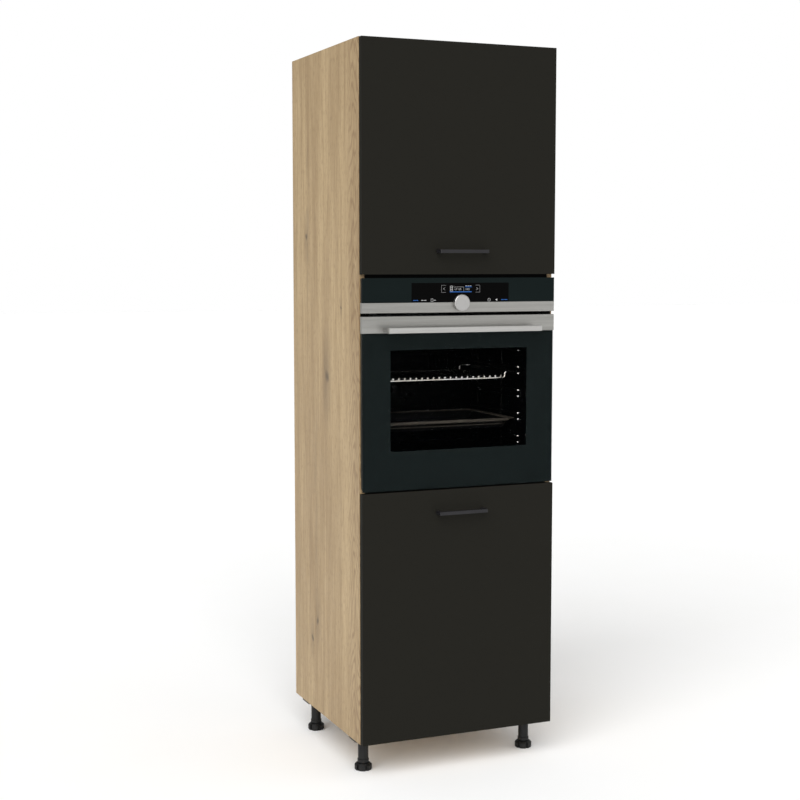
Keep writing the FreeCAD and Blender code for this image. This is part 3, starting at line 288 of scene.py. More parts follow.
def oval_spot(tree, place, middle, half_sizes):
    """1 in the middle of an oval spot on a side panel, 0 outside it."""
    full_reach = 0.15
    offset = node(tree, "VectorMath", {0: place, 1: middle}, operation="SUBTRACT")
    scale = [0.0, *(1 / size for size in half_sizes)]
    oval = node(tree, "VectorMath", {0: offset, 1: scale}, operation="MULTIPLY")
    reach = node(tree, "VectorMath", {0: oval}, "Value", operation="LENGTH")
    return node(tree, "MapRange", {0: reach, 1: full_reach, 2: 1.0, 3: 1.0, 4: 0.0})


def side_figure(tree, colour):
    """Figure of the upright side panels: small grey-brown knots, the streaks through them, arched lines."""
    swirl_reach = 30.0 * mm
    # Half sizes across and along the grain, as shares of a knot's half width
    halo_shares = (2.2, 9.0)
    heart_shares = (1.0, 1.2)
    place = node(tree, "TexCoord", out="Object")
    swirl = node(tree, "Math", {0: grain(tree, (16, 16, 60), 3.0), 1: swirl_reach}, operation="MULTIPLY")
    shift = node(tree, "CombineXYZ", {"X": 0.0, "Y": swirl, "Z": swirl})
    bent = node(tree, "VectorMath", {0: place, 1: shift}, operation="ADD")
    for middle, half_width in side_knots():
        halo = oval_spot(tree, bent, middle, [share * half_width for share in halo_shares])
        heart = oval_spot(tree, bent, middle, [share * half_width for share in heart_shares])
        colour = stain(tree, colour, "#6d5d4a", halo, 0.0, 1.0, 0.38)
        colour = stain(tree, colour, "#443c34", heart, 0.0, 1.0, 0.75)
    gaps = grain(tree, (16, 16, 90), 3.0)
    broken = node(tree, "MapRange", {0: gaps, 1: 0.40, 2: 0.62, 3: 0.0, 4: 0.5})
    for middle, half_sizes in side_streaks():
        streak = oval_spot(tree, bent, middle, half_sizes)
        share = node(tree, "Math", {0: streak, 1: broken}, operation="MULTIPLY")
        colour = stain(tree, colour, "#7b6b55", share, 0.0, 1.0)
    return cathedral(tree, place, colour)


def cathedral(tree, place, colour):
    """Arched growth lines of the board's heart, in a band behind the front edge."""
    # Real growth lines are 2 to 4 mm apart; they are drawn wider so that they show at this distance
    arch_half_width = 34.0 * mm
    arch_inset = 20.0 * mm
    arch_wander = 40.0 * mm
    arch_bend = 1.5
    line_spacing = 62.0 * mm
    line_wander = 6.0
    band = 95.0 * mm
    full_band = 0.6 * band
    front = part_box("side_panel_left")[0].y
    depth = node(tree, "SeparateXYZ", {"Vector": place}, "Y")
    height = node(tree, "SeparateXYZ", {"Vector": place}, "Z")
    wobble = grain(tree, (60, 60, 260))
    middle = node(tree, "Math", {0: wobble, 1: arch_wander, 2: front + arch_inset}, operation="MULTIPLY_ADD")
    offset = node(tree, "Math", {0: depth, 1: middle}, operation="SUBTRACT")
    across = node(tree, "Math", {0: offset, 1: arch_half_width}, operation="DIVIDE")
    reach = node(tree, "Math", {0: across}, operation="ABSOLUTE")
    arch = node(tree, "Math", {0: reach, 1: arch_bend}, operation="POWER")
    level = node(tree, "Math", {0: height, 1: line_spacing}, operation="DIVIDE")
    bowed = node(tree, "Math", {0: arch, 1: level}, operation="ADD")
    rings = node(tree, "Math", {0: wobble, 1: line_wander, 2: bowed}, operation="MULTIPLY_ADD")
    angle = node(tree, "Math", {0: rings, 1: 2 * math.pi}, operation="MULTIPLY")
    lines = node(tree, "Math", {0: angle}, operation="SINE")
    drawn = node(tree, "MapRange", {0: lines, 1: 0.2, 2: 1.0, 3: 0.0, 4: 0.6})
    near = node(tree, "MapRange", {0: depth, 1: front + full_band, 2: front + band, 3: 1.0, 4: 0.0})
    share = node(tree, "Math", {0: drawn, 1: near}, operation="MULTIPLY")
    return stain(tree, colour, "#7d6448", share, 0.0, 1.0)


def hardboard():
    """Hardboard pressed from fibres: even brown with a fine felted speckle."""
    made, tree, shader = new_material("hardboard_pressed", {"Roughness": 0.7, "Specular IOR Level": 0.3})
    felt = grain(tree, (1.5, 1.5, 1.5), 3.0)
    clouds = grain(tree, (60, 60, 60))
    colour = stain(tree, srgb("#a28b6d"), "#9a8366", clouds)
    colour = stain(tree, colour, "#76624a", felt, 0.45, 0.75, 0.5)
    give_finish(tree, shader, colour, felt, depth_mm=0.05)
    return made


def matte_lacquer():
    """Matte lacquer sprayed on board: olive black, no clear reflection, a very fine orange peel."""
    sockets = {"Roughness": 0.6, "Specular IOR Level": 0.06, "IOR": 1.5}
    made, tree, shader = new_material("matte_lacquer_olive_black", sockets)
    peel = grain(tree, (1.4, 1.4, 1.4), 3.0)
    colour = stain(tree, srgb("#1a1915"), "#1d1c18", peel)
    give_finish(tree, shader, colour, peel, (0.54, 0.66), 0.02)
    return made


def raw_beech():
    """Turned beech dowel: pale pink-brown with short flecks."""
    made, tree, shader = new_material("raw_beech", {"Roughness": 0.65, "Specular IOR Level": 0.3})
    flecks = grain(tree, (6, 0.8, 0.8))
    give_finish(tree, shader, stain(tree, srgb("#cfa67a"), "#a87f57", flecks, 0.5, 0.7))
    return made


# Metals
def brushed_steel(name, light, dark, rough):
    """Stainless steel brushed along X: fine bright and dark lines, a soft stretched reflection."""
    made, tree, shader = new_material(name, {"Metallic": 1.0, "Roughness": rough})
    # Real brush lines are 0.1 mm apart; they are drawn wider so that they show at this distance
    lines = grain(tree, (160, 1.1, 1.1), 4.0, 0.7)
    broad = grain(tree, (500, 6, 6))
    both = node(tree, "Math", {0: lines, 1: broad}, operation="ADD")
    colour = stain(tree, srgb(dark), light, both, 0.72, 1.28)
    give_finish(tree, shader, colour, lines, (rough - 0.05, rough + 0.08), 0.015)
    return made


def turned_steel():
    """Satin knob faced on a lathe: concentric fine rings round its own axis."""
    made, tree, shader = new_material("turned_satin_steel", {"Metallic": 1.0, "Roughness": 0.36})
    # Real turning marks are 0.1 mm apart; they are drawn wider so that they show at this distance
    ring_width = 0.6 * mm
    low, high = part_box("control_knob")
    place = node(tree, "TexCoord", out="Object")
    offset = node(tree, "VectorMath", {0: place, 1: (low + high) / 2}, operation="SUBTRACT")
    flat = node(tree, "VectorMath", {0: offset, 1: (1.0, 0.0, 1.0)}, operation="MULTIPLY")
    reach = node(tree, "VectorMath", {0: flat}, "Value", operation="LENGTH")
    settings = {"W": reach, "Scale": 1 / ring_width, "Detail": 2.0}
    rings = node(tree, "TexNoise", settings, "Fac", noise_dimensions="1D")
    give_finish(tree, shader, stain(tree, srgb("#b6b5b3"), "#bebdbb", rings), rings, depth_mm=0.01)
    return made


def plated_steel(name, light, dark, rough):
    """Pressed steel with bright zinc or nickel plating: cool grey with faint clouding."""
    made, tree, shader = new_material(name, {"Metallic": 1.0, "Roughness": rough})
    clouds = grain(tree, (18, 18, 18), 3.0)
    scratches = grain(tree, (0.8, 14, 0.8))
    colour = stain(tree, srgb(dark), light, clouds, 0.35, 0.65)
    give_finish(tree, shader, colour, scratches, (rough - 0.05, rough + 0.1))
    return made


def galvanised_sheet():
    """Hot-dip galvanised sheet: large pale and dark zinc flowers."""
    made, tree, shader = new_material("galvanised_sheet", {"Metallic": 1.0, "Roughness": 0.42})
    flowers = stretched(tree, (9, 9, 9))
    cells = node(tree, "TexVoronoi", {"Vector": flowers, "Scale": 1.0}, "Color", feature="F1")
    value = node(tree, "SeparateColor", {"Color": cells}, "Red")
    colour = stain(tree, srgb("#8f9294"), "#b3b6b8", value, 0.0, 1.0)
    give_finish(tree, shader, colour, value, (0.36, 0.5), span=(0.0, 1.0))
    return made


def black_coat(name, light, dark, rough, shine=0.35):
    """Black powder coat on metal: near black with a fine pebbled sheen."""
    made, tree, shader = new_material(name, {"Roughness": rough, "Specular IOR Level": shine, "IOR": 1.5})
    pebble = grain(tree, (0.8, 0.8, 0.8))
    clouds = grain(tree, (40, 40, 40))
    colour = stain(tree, srgb(dark), light, clouds)
    give_finish(tree, shader, colour, pebble, (rough - 0.06, rough + 0.06), 0.03)
    return made


def speckled_enamel(name, ground, speck, rough):
    """Glass enamel fired on steel: dark, glossy, with tiny pale specks."""
    made, tree, shader = new_material(name, {"Roughness": rough, "Specular IOR Level": 0.08, "IOR": 1.5})
    specks = stretched(tree, (3.2, 3.2, 3.2))
    reach = node(tree, "TexVoronoi", {"Vector": specks, "Scale": 1.0}, "Distance", feature="F1")
    ripple = grain(tree, (14, 14, 14))
    colour = stain(tree, srgb(ground), speck, reach, 0.18, 0.10)
    give_finish(tree, shader, colour, ripple, (rough - 0.05, rough + 0.08), 0.03)
    return made


def tray_enamel():
    """Fired tray enamel: near black, worn thin and brown-grey on the top edge of the rim, with a painted
    brown-grey highlight on the lip and bead along the front.
    """
    sockets = {"Roughness": 0.4, "Specular IOR Level": 0.12, "IOR": 1.5}
    made, tree, shader = new_material("fired_tray_enamel", sockets)
    low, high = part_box("baking_tray")
    rim = high.z
    front = low.y
    place = node(tree, "TexCoord", out="Object")
    depth = node(tree, "SeparateXYZ", {"Vector": place}, "Y")
    height = node(tree, "SeparateXYZ", {"Vector": place}, "Z")
    edge_low = rim - edge_band
    edge = node(tree, "MapRange", {0: height, 1: edge_low, 2: edge_low + edge_fade, 3: 0.0, 4: 1.0})
    lip_low = rim - lip_highlight_band
    lip = node(tree, "MapRange", {0: height, 1: lip_low, 2: lip_low + lip_highlight_fade, 3: 0.0, 4: 1.0})
    off_bead = node(tree, "Math", {0: height, 1: rim - bead_drop}, operation="SUBTRACT")
    from_bead = node(tree, "Math", {0: off_bead}, operation="ABSOLUTE")
    bead = node(tree, "MapRange", {0: from_bead, 1: bead_radius, 2: 2 * bead_radius, 3: 0.8, 4: 0.0})
    front_highlight_end = front + front_highlight_band
    near = node(tree, "MapRange", {0: depth, 1: front_highlight_end, 2: front_highlight_end + front_highlight_fade, 3: 1.0, 4: 0.0})
    # The lip and bead are lightened only along the front, as a painted highlight; the top edge of the rim is
    # worn thin all round
    lip_and_bead_highlight = node(tree, "Math", {0: lip, 1: bead}, operation="MAXIMUM")
    front_painted_highlight = node(tree, "Math", {0: lip_and_bead_highlight, 1: near}, operation="MULTIPLY")
    rim_wear_and_front_highlight = node(tree, "Math", {0: edge, 1: front_painted_highlight}, operation="MAXIMUM")
    specks = grain(tree, (2.5, 2.5, 2.5))
    colour = stain(tree, srgb("#070708"), "#141415", specks, 0.62, 0.7, 0.4)
    # Brown-grey: enamel worn thin on the top edge of the rim, and a painted highlight on the lip and bead
    # along the front
    give_finish(tree, shader, stain(tree, colour, "#454039", rim_wear_and_front_highlight, 0.0, 1.0))
    return made


def chromed_wire():
    """Chromed steel wire: bright mirror with slight straw heat tints."""
    made, tree, shader = new_material("chromed_wire", {"Metallic": 1.0, "Roughness": 0.16})
    heat = grain(tree, (50, 50, 50))
    colour = stain(tree, srgb("#f2f2f2"), "#e2dccf", heat, 0.4, 0.7)
    give_finish(tree, shader, colour, heat, (0.12, 0.24))
    return made


# Glass and plastic
def tinted_glass(name, first, second, alpha, rough):
    """Toughened float glass with a grey-green tint: sharp dim reflections, faint roller waves."""
    sockets = {"Roughness": rough, "Specular IOR Level": 0.03, "IOR": 1.52, "Alpha": alpha}
    made, tree, shader = new_material(name, sockets)
    waves = grain(tree, (260, 260, 90), 1.0)
    give_finish(tree, shader, stain(tree, srgb(first), second, waves), waves, depth_mm=0.02)
    return made


def clear_glass():
    """Clear float glass: nearly all light goes through, with a light green cast."""
    sockets = {"Roughness": 0.04, "Specular IOR Level": 0.02, "IOR": 1.52, "Alpha": 0.02}
    made, tree, shader = new_material("clear_float_glass", sockets)
    waves = grain(tree, (120, 120, 120), 1.0)
    give_finish(tree, shader, stain(tree, srgb("#0a0d0d"), "#101414", waves, 0.0, 1.0))
    return made


def printed_black(name, first, second, rough):
    """Ceramic print fired on the back of glass: blue-black and even, with tiny pinholes."""
    made, tree, shader = new_material(name, {"Roughness": rough, "Specular IOR Level": 0.02, "IOR": 1.5})
    pinholes = grain(tree, (0.7, 0.7, 0.7))
    give_finish(tree, shader, stain(tree, srgb(first), second, pinholes, 0.35, 0.75))
    return made


def moulded_plastic():
    """Injection-moulded polypropylene: black-grey, fine spark-eroded grain, broad soft highlights."""
    sockets = {"Roughness": 0.5, "Specular IOR Level": 0.3, "IOR": 1.49}
    made, tree, shader = new_material("moulded_polypropylene", sockets)
    texture = grain(tree, (0.9, 0.9, 0.9))
    clouds = grain(tree, (25, 25, 25))
    colour = stain(tree, srgb("#101010"), "#161616", clouds)
    give_finish(tree, shader, colour, texture, (0.42, 0.58), 0.05)
    return made


def silicone():
    """Silicone rubber seal: dull charcoal with a trace of dust."""
    sockets = {"Roughness": 0.7, "Specular IOR Level": 0.3, "IOR": 1.41}
    made, tree, shader = new_material("silicone_rubber", sockets)
    dust = grain(tree, (2.5, 2.5, 2.5), 3.0)
    give_finish(tree, shader, stain(tree, srgb("#1c1c1c"), "#343230", dust, 0.5, 0.8))
    return made


def lit_mark(name, colour, strength):
    """Lit display segment: even light with a faint pixel grid."""
    made, tree, shader = new_material(name, {"Roughness": 0.4, "Emission Strength": strength})
    # Real pixels are 0.2 mm wide; they are drawn wider so that they show at this distance
    pixels = grain(tree, (0.5, 0.5, 0.5), 1.0)
    glow = stain(tree, srgb(colour), "#0a0a0a", pixels, share=0.25)
    give_finish(tree, shader, glow)
    tree.links.new(glow, shader.inputs["Emission Color"])
    return made


def studio_floor():
    """Seamless pale paper: nearly white, matte, with the faintest mottling."""
    made, tree, shader = new_material("studio_paper", {"Roughness": 0.9, "Specular IOR Level": 0.1})
    mottle = grain(tree, (300, 300, 300))
    give_finish(tree, shader, stain(tree, srgb("#fcfcfb"), "#fefefe", mottle, 0.0, 1.0))
    return made


# Mesh helpers
def piece(name, mesh, material, body):
    """New object made of a finished bmesh, riding on a body."""
    data = bpy.data.meshes.new(name)
    mesh.to_mesh(data)
    mesh.free()
    data.materials.append(material)
    made = bpy.data.objects.new(name, data)
    bpy.context.scene.collection.objects.link(made)
    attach(made, body)
    return made


def add_box(mesh, low, high):
    """Box between two opposite corners."""
    middle = (Vector(low) + Vector(high)) / 2
    size = Vector(high) - Vector(low)
    matrix = Matrix.Translation(middle) @ Matrix.Diagonal((*size, 1.0))
    bmesh.ops.create_cube(mesh, size=1.0, matrix=matrix)


def add_lathe(mesh, outline, place, normal, sides=24):
    """Turns an outline of (radius, height) points about the normal at a place.

    Both ends of the outline are on the axis."""
    turn = Vector(normal).to_track_quat("Z", "Y").to_matrix()
    rings = []
    for radius, height in outline:
        count = sides if radius else 1
        ring = []
        for step in range(count):
            angle = 2 * math.pi * step / count
            offset = Vector((radius * math.cos(angle), radius * math.sin(angle), height))
            ring.append(mesh.verts.new(place + turn @ offset))
        rings.append(ring)
    for first, second in zip(rings, rings[1:]):
        for step in range(sides):
            after = step + 1
            corners = [
                first[step % len(first)],
                second[step % len(second)],
                second[after % len(second)],
                first[after % len(first)],
            ]
            # A ring of one point gives the same corner twice
            mesh.faces.new(list(dict.fromkeys(corners)))


def add_tube(mesh, path, radii, sides=12):
    """Round bar along a path of points with a radius at each, closed at both ends."""
    rings = []
    last = len(path) - 1
    for index, point in enumerate(path):
        run = path[min(index + 1, last)] - path[max(index - 1, 0)]
        turn = run.to_track_quat("Z", "Y").to_matrix()
        ring = []
        for step in range(sides):
            angle = 2 * math.pi * step / sides
            offset = Vector((math.cos(angle), math.sin(angle), 0.0)) * radii[index]
            ring.append(mesh.verts.new(point + turn @ offset))
        rings.append(ring)
    for first, second in zip(rings, rings[1:]):
        for step in range(sides):
            after = (step + 1) % sides
            mesh.faces.new((first[step], first[after], second[after], second[step]))
    mesh.faces.new(list(reversed(rings[0])))
    mesh.faces.new(rings[-1])


# Display marks
def display_front():
    """Front face of the display: its y, its middle in x, its lower and its upper edge."""
    low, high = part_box("display_panel")
    return low.y, (low.x + high.x) / 2, low.z, high.z


def add_mark(mesh, x0, x1, z0, z1):
    """Flat bar on the face of the display."""
    y = display_front()[0]
    add_box(mesh, (x0, y - mark_relief, z0), (x1, y, z1))


def add_dashes(mesh, spans, low, height):
    """Row of bars; spans are in millimetres from the display's middle."""
    middle = display_front()[1]
    for start, end in spans:
        add_mark(mesh, middle + start * mm, middle + end * mm, low, low + height)


def add_line(mesh, start, end, width):
    """Slanted stroke between two points given as (x, z)."""
    y = display_front()[0]
    first, second = Vector(start), Vector(end)
    run = second - first
    middle = (first + second) / 2
    turn = Matrix.Rotation(-math.atan2(run.y, run.x), 4, "Y")
    size = Matrix.Diagonal((run.length, mark_relief, width, 1.0))
    place = Matrix.Translation((middle.x, y - mark_relief / 2, middle.y))
    bmesh.ops.create_cube(mesh, size=1.0, matrix=place @ turn @ size)


def add_digit(mesh, lit, x, z):
    """Seven-segment digit; lit names its segments, x and z are its lower left corner."""
    half = digit_height / 2
    left = (0, mark_thin)
    right = (digit_width - mark_thin, digit_width)
    across = (mark_thin + digit_gap, digit_width - mark_thin - digit_gap)
    lower = (0, half - digit_gap)
    upper = (half + digit_gap, digit_height)
    spans = {
        "a": (*across, digit_height - mark_thin, digit_height),
        "b": (*right, *upper),
        "c": (*right, *lower),
        "d": (*across, 0, mark_thin),
        "e": (*left, *lower),
        "f": (*left, *upper),
        "g": (*across, half - mark_thin / 2, half + mark_thin / 2),
    }
    for segment in lit:
        x0, x1, z0, z1 = spans[segment]
        add_mark(mesh, x + x0, x + x1, z + z0, z + z1)


def add_number(mesh, signs, x, z):
    """Row of digits; a colon takes half a digit's room."""
    for sign in signs:
        if sign == ":":
            for rise in (digit_height / 4, digit_height * 3 / 4):
                dot = z + rise - mark_thin / 2
                add_mark(mesh, x, x + mark_thin, dot, dot + mark_thin)
            x += digit_pitch / 2
        else:
            add_digit(mesh, digit_segments[sign], x, z)
            x += digit_pitch


def arrow_keys(frames, arrows):
    """Two touch keys: an arrow in an open bracket on each side of the field."""
    _, middle, _, high = display_front()
    top = high - bracket_top
    bottom = top - bracket_height
    level = (top + bottom) / 2
    for side in (-1, 1):
        outer = middle + side * (bracket_middle + bracket_arm / 2)
        inner = middle + side * (bracket_middle - bracket_arm / 2)
        upright = sorted((outer, outer - side * mark_line))
        add_mark(frames, *upright, bottom + mark_line / 2, top - mark_line / 2)
        for z in (top - mark_line, bottom):
            add_mark(frames, *sorted((outer, inner)), z, z + mark_line)
        tip = outer - side * (arrow_inset - arrow_length / 2)
        tail = tip - side * arrow_length
        for rise in (-arrow_half_height, arrow_half_height):
            add_line(arrows, (tail, level + rise), (tip, level), arrow_line)


def cooking_field(white, blue):
    """Shelf symbol, time and heat between ruled lines, with two blue bars."""
    _, middle, _, high = display_front()
    low = high - bracket_top - bracket_height + field_rise
    add_number(white, "12:30", middle + time_left, low + digit_rise)
    add_number(white, "180", middle + heat_left, low + digit_rise)
    left = middle + symbol_left
    right = middle + symbol_right
    for x in (left, right - symbol_line):
        add_mark(white, x, x + symbol_line, low, low + symbol_height)
    for bar in range(symbol_bars):
        z = low + bar * (symbol_height - symbol_line) / (symbol_bars - 1)
        add_mark(white, left + symbol_line / 2, right - symbol_line / 2, z, z + symbol_line)
    rule = low + rule_rise
    divider = middle + divider_left
    add_mark(white, middle + rule_left, divider + field_line / 2, rule, rule + field_line)
    add_mark(white, divider, divider + field_line, low, rule + field_line)
    add_dashes(white, caption_spans, low + caption_rise, caption_height)
    add_dashes(blue, [underline_span], low + underline_rise, underline_height)
    add_dashes(blue, [heat_line_span], low + heat_line_rise, heat_line_height)


def key_row(white, blue):
    """Row of key signs along the lower edge: short dashes, a box, a clock and a speaker."""
    _, middle, low, _ = display_front()
    row = low + key_rise
    add_dashes(white, white_dashes, row - dash_drop, dash_height)
    add_dashes(blue, blue_dashes, row - dash_drop, dash_height)
    left = middle + box_left
    right = middle + box_right
    bottom = row - box_drop
    top = row + box_rise
    for z in (bottom, top - mark_line):
        add_mark(white, left, right, z, z + mark_line)
    for x in (left, right - mark_line):
        add_mark(white, x, x + mark_line, bottom + mark_line / 2, top - mark_line / 2)
    clock_sign(white, Vector((middle + clock_middle, row)))
    for step in range(speaker_steps):
        x = middle + speaker_left + step * speaker_step
        reach = (1 + step) * speaker_growth
        add_mark(white, x, x + speaker_step, row - reach, row + reach)


def clock_sign(mesh, middle):
    """Round clock drawn with short strokes, and its two hands."""
    rim = []
    for step in range(clock_sides + 1):
        angle = 2 * math.pi * step / clock_sides
        rim.append(middle + clock_radius * Vector((math.cos(angle), math.sin(angle))))
    for start, end in zip(rim, rim[1:]):
        add_line(mesh, start, end, mark_line)
    add_line(mesh, middle, middle + Vector((0, minute_hand)), mark_thin)
    add_line(mesh, middle, middle + Vector((hour_hand, 0)), mark_thin)


def display_marks(white, grey, blue):
    """All marks on the display, as one piece for each tone."""
    pale, dim, deep = bmesh.new(), bmesh.new(), bmesh.new()
    arrow_keys(dim, pale)
    cooking_field(pale, deep)
    key_row(pale, deep)
    for name, mesh, material in (("white", pale, white), ("grey", dim, grey), ("blue", deep, blue)):
        piece("display_marks_" + name, mesh, material, "carcass")


# Small fittings
def screw_heads(name, places, normal, body, head, recess_shade):
    """Countersunk heads, all facing one way along an axis, with near-black cross bars as painted shade in
    their cross-shaped hollows.
    """
    normal = Vector(normal)
    dome = [
        (0.0, screw_dome * 0.55),
        (screw_radius * 0.35, screw_dome * 0.55),
        (screw_radius * 0.5, screw_dome),
        (screw_radius * 0.85, screw_dome * 0.7),
        (screw_radius, 0.0),
        (0.0, 0.0),
    ]
    heads, slots = bmesh.new(), bmesh.new()
    side = Vector((normal.y, normal.z, normal.x))
    other = normal.cross(side)
    for place in places:
        add_lathe(heads, dome, place, normal)
        # Near-black cross bars, raised a little through the dome, stand in as painted shade for the hollow
        # of the cross
        for first, second in ((side, other), (other, side)):
            reach = first * screw_radius * 0.42 + second * screw_slot / 2
            start = place - reach + normal * screw_dome * 0.3
            end = place + reach + normal * screw_dome * 0.62
            low = [min(a, b) for a, b in zip(start, end)]
            high = [max(a, b) for a, b in zip(start, end)]
            add_box(slots, low, high)
    piece(name, heads, head, body)
    piece(name + "_painted_shade_crosses", slots, recess_shade, body)


def leg_screws(head, recess_shade):
    """Four screws in each leg flange, seen from below."""
    places = []
    flange_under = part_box("leg_sockets")[1].z - leg_flange_thickness
    for name in ("front_left", "front_right", "rear_left", "rear_right"):
        low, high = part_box("leg_foot_" + name)
        middle = (low + high) / 2
        for dx in (-leg_screw_offset, leg_screw_offset):
            for dy in (-leg_screw_offset, leg_screw_offset):
                places.append(Vector((middle.x + dx, middle.y + dy, flange_under)))
    screw_heads("leg_screws", places, (0, 0, -1), "carcass", head, recess_shade)


def hinge_screws(head, recess_shade):
    """Screws in the wings of the hinge cups, which lie along X above and along Z below."""
    for front, body, axis in (("upper", "flap", 0), ("lower", "door", 2)):
        low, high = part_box(front + "_hinge_cups")
        reach = (high[axis] - low[axis]) / 2 - cup_wing_inset
        inner = reach - 2 * cup_screw_offset
        places = []
        for offset in (-reach, -inner, inner, reach):
            place = (low + high) / 2
            place.y = high.y
            place[axis] += offset
            places.append(place)
        screw_heads(front + "_cup_screws", places, (0, 1, 0), body, head, recess_shade)


def handle_screws(head, recess_shade):
    """Screw heads of the bar handles, on the back of the fronts."""
    for front, body in (("upper", "flap"), ("lower", "door")):
        low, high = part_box(front + "_handle")
        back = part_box(front + "_front")[1].y
        z = (low.z + high.z) / 2
        ends = (low.x + handle_screw_inset, high.x - handle_screw_inset)
        places = [Vector((x, back, z)) for x in ends]
        screw_heads(front + "_handle_screws", places, (0, 1, 0), body, head, recess_shade)


def front_buffers(rubber):
    """Soft buffers on the back of each front, at its free corners."""
    outline = [
        (0.0, buffer_height),
        (buffer_radius * 0.5, buffer_height * 0.95),
        (buffer_radius * 0.85, buffer_height * 0.6),
        (buffer_radius, 0.0),
        (0.0, 0.0),
    ]
    low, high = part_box("upper_front")
    upper = [(x, low.z + buffer_inset) for x in (low.x + buffer_inset, high.x - buffer_inset)]
    low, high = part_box("lower_front")
    lower = [(low.x + buffer_inset, z) for z in (low.z + buffer_inset, high.z - buffer_inset)]
    for name, places, body in (("upper", upper, "flap"), ("lower", lower, "door")):
        mesh = bmesh.new()
        for x, z in places:
            add_lathe(mesh, outline, Vector((x, high.y, z)), (0, 1, 0))
        piece(name + "_front_buffers", mesh, rubber, body)


def runner_bends(wire):
    """Front ends of the runner wires, bent outward to the wall of the oven."""
    low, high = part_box("shelf_ladders")
    mesh = bmesh.new()
    for side, x in ((-1, low.x + runner_inset), (1, high.x - runner_inset)):
        for level in range(runner_levels):
            for rise in (runner_pair, 2 * runner_pair):
                z = low.z + level * runner_pitch + rise
                middle = Vector((x + side * runner_bend, low.y, z))
                path = [Vector((x, low.y + runner_bend / 4, z))]
                for step in range(runner_bend_steps + 1):
                    angle = math.pi / 2 * step / runner_bend_steps
                    arm = Vector((-side * math.cos(angle), -math.sin(angle), 0.0))
                    path.append(middle + arm * runner_bend)
                path.append(path[-1] + Vector((side * runner_stub, 0.0, 0.0)))
                add_tube(mesh, path, [runner_radius] * len(path))
    piece("runner_bends", mesh, wire, "carcass")


def tray_lip(enamel):
    """Rolled lip under the front rim of the tray, and the pressed bead below it."""
    low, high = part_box("baking_tray")
    mesh = bmesh.new()
    for radius, back, drop, inset in (
        (lip_radius, lip_radius, lip_radius, lip_inset),
        (bead_radius, bead_back, bead_drop, lip_inset + bead_back),
    ):
        # Steps in from each end, with the share of the full radius there
        taper = ((0.0, 0.35), (radius, 0.8), (3 * radius, 1.0))
        stops = [(low.x + inset + step, share) for step, share in taper]
        stops += [(high.x - inset - step, share) for step, share in reversed(taper)]
        path = [Vector((x, low.y + back, high.z - drop)) for x, _ in stops]
        add_tube(mesh, path, [radius * share for _, share in stops])
    piece("tray_lip", mesh, enamel, "carcass")


def case_louvres(sheet):
    """Pressed air louvres in the rear of the oven's case."""
    low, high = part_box("oven_casing")
    mesh = bmesh.new()
    for column in (-1, 1):
        left = column * (high.x - low.x) / 4 - louvre_length / 2
        for row in range(louvre_count):
            z = high.z - louvre_top - row * louvre_pitch
            rings = []
            for x in (left, left + louvre_length):
                ring = []
                for step in range(louvre_rounds + 1):
                    angle = math.pi * step / louvre_rounds
                    rise = louvre_height / 2 * math.cos(angle)
                    reach = louvre_reach * math.sin(angle)
                    ring.append(mesh.verts.new((x, high.y + reach, z + rise)))
                rings.append(ring)
            for step in range(louvre_rounds):
                mesh.faces.new((rings[0][step], rings[1][step], rings[1][step + 1], rings[0][step + 1]))
            mesh.faces.new(rings[0])
            mesh.faces.new(list(reversed(rings[1])))
            mesh.faces.new((rings[0][0], rings[0][-1], rings[1][-1], rings[1][0]))
    piece("case_louvres", mesh, sheet, "carcass")


# Putting it together
def dress(material, *names):
    """Gives CAD nodes their material."""
    for name in names:
        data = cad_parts[name].data
        data.materials.clear()
        data.materials.append(material)


def dress_cabinet():
    """Boards, fronts, hardware and feet of the cabinet."""
    dress(oak_decor("oak_decor_upright", "Z", True), "side_panel_left", "side_panel_right")
    dress(
        oak_decor("oak_decor_lying", "X"),
        "bottom_panel", "oven_shelf", "niche_top_shelf", "top_panel", "lower_shelf", "upper_shelf",
    )
    dress(hardboard(), "back_boards")
    dress(matte_lacquer(), "upper_front", "lower_front")
    dress(black_coat("black_powder_coat", "#1b1a1d", "#161518", 0.42), "upper_handle", "lower_handle")
    dress(black_coat("black_strut_paint", "#1c1c1d", "#141415", 0.3), "strut_cylinders")
    dress(plated_steel("zinc_die_casting", "#a9aaab", "#8d8e90", 0.45), "cam_locks")
    hinges = ["hinge_cups", "hinge_links", "hinge_arms"]
    dress(
        plated_steel("nickel_plated_steel", "#c3c2bf", "#a8a7a4", 0.28),
        *("upper_" + part for part in hinges),
        *("lower_" + part for part in hinges),
        "cam_bolts", "shelf_pins", "wall_brackets", "strut_rods", "strut_side_plates", "strut_front_plates",
        "oven_fixing_screws", "knob_shaft",
    )
    dress(raw_beech(), "dowels")
    plastic = moulded_plastic()
    dress(plastic, "leg_sockets", "control_box", "oven_terminal_box")
    for place in ("front_left", "front_right", "rear_left", "rear_right"):
        dress(plastic, "leg_foot_" + place)


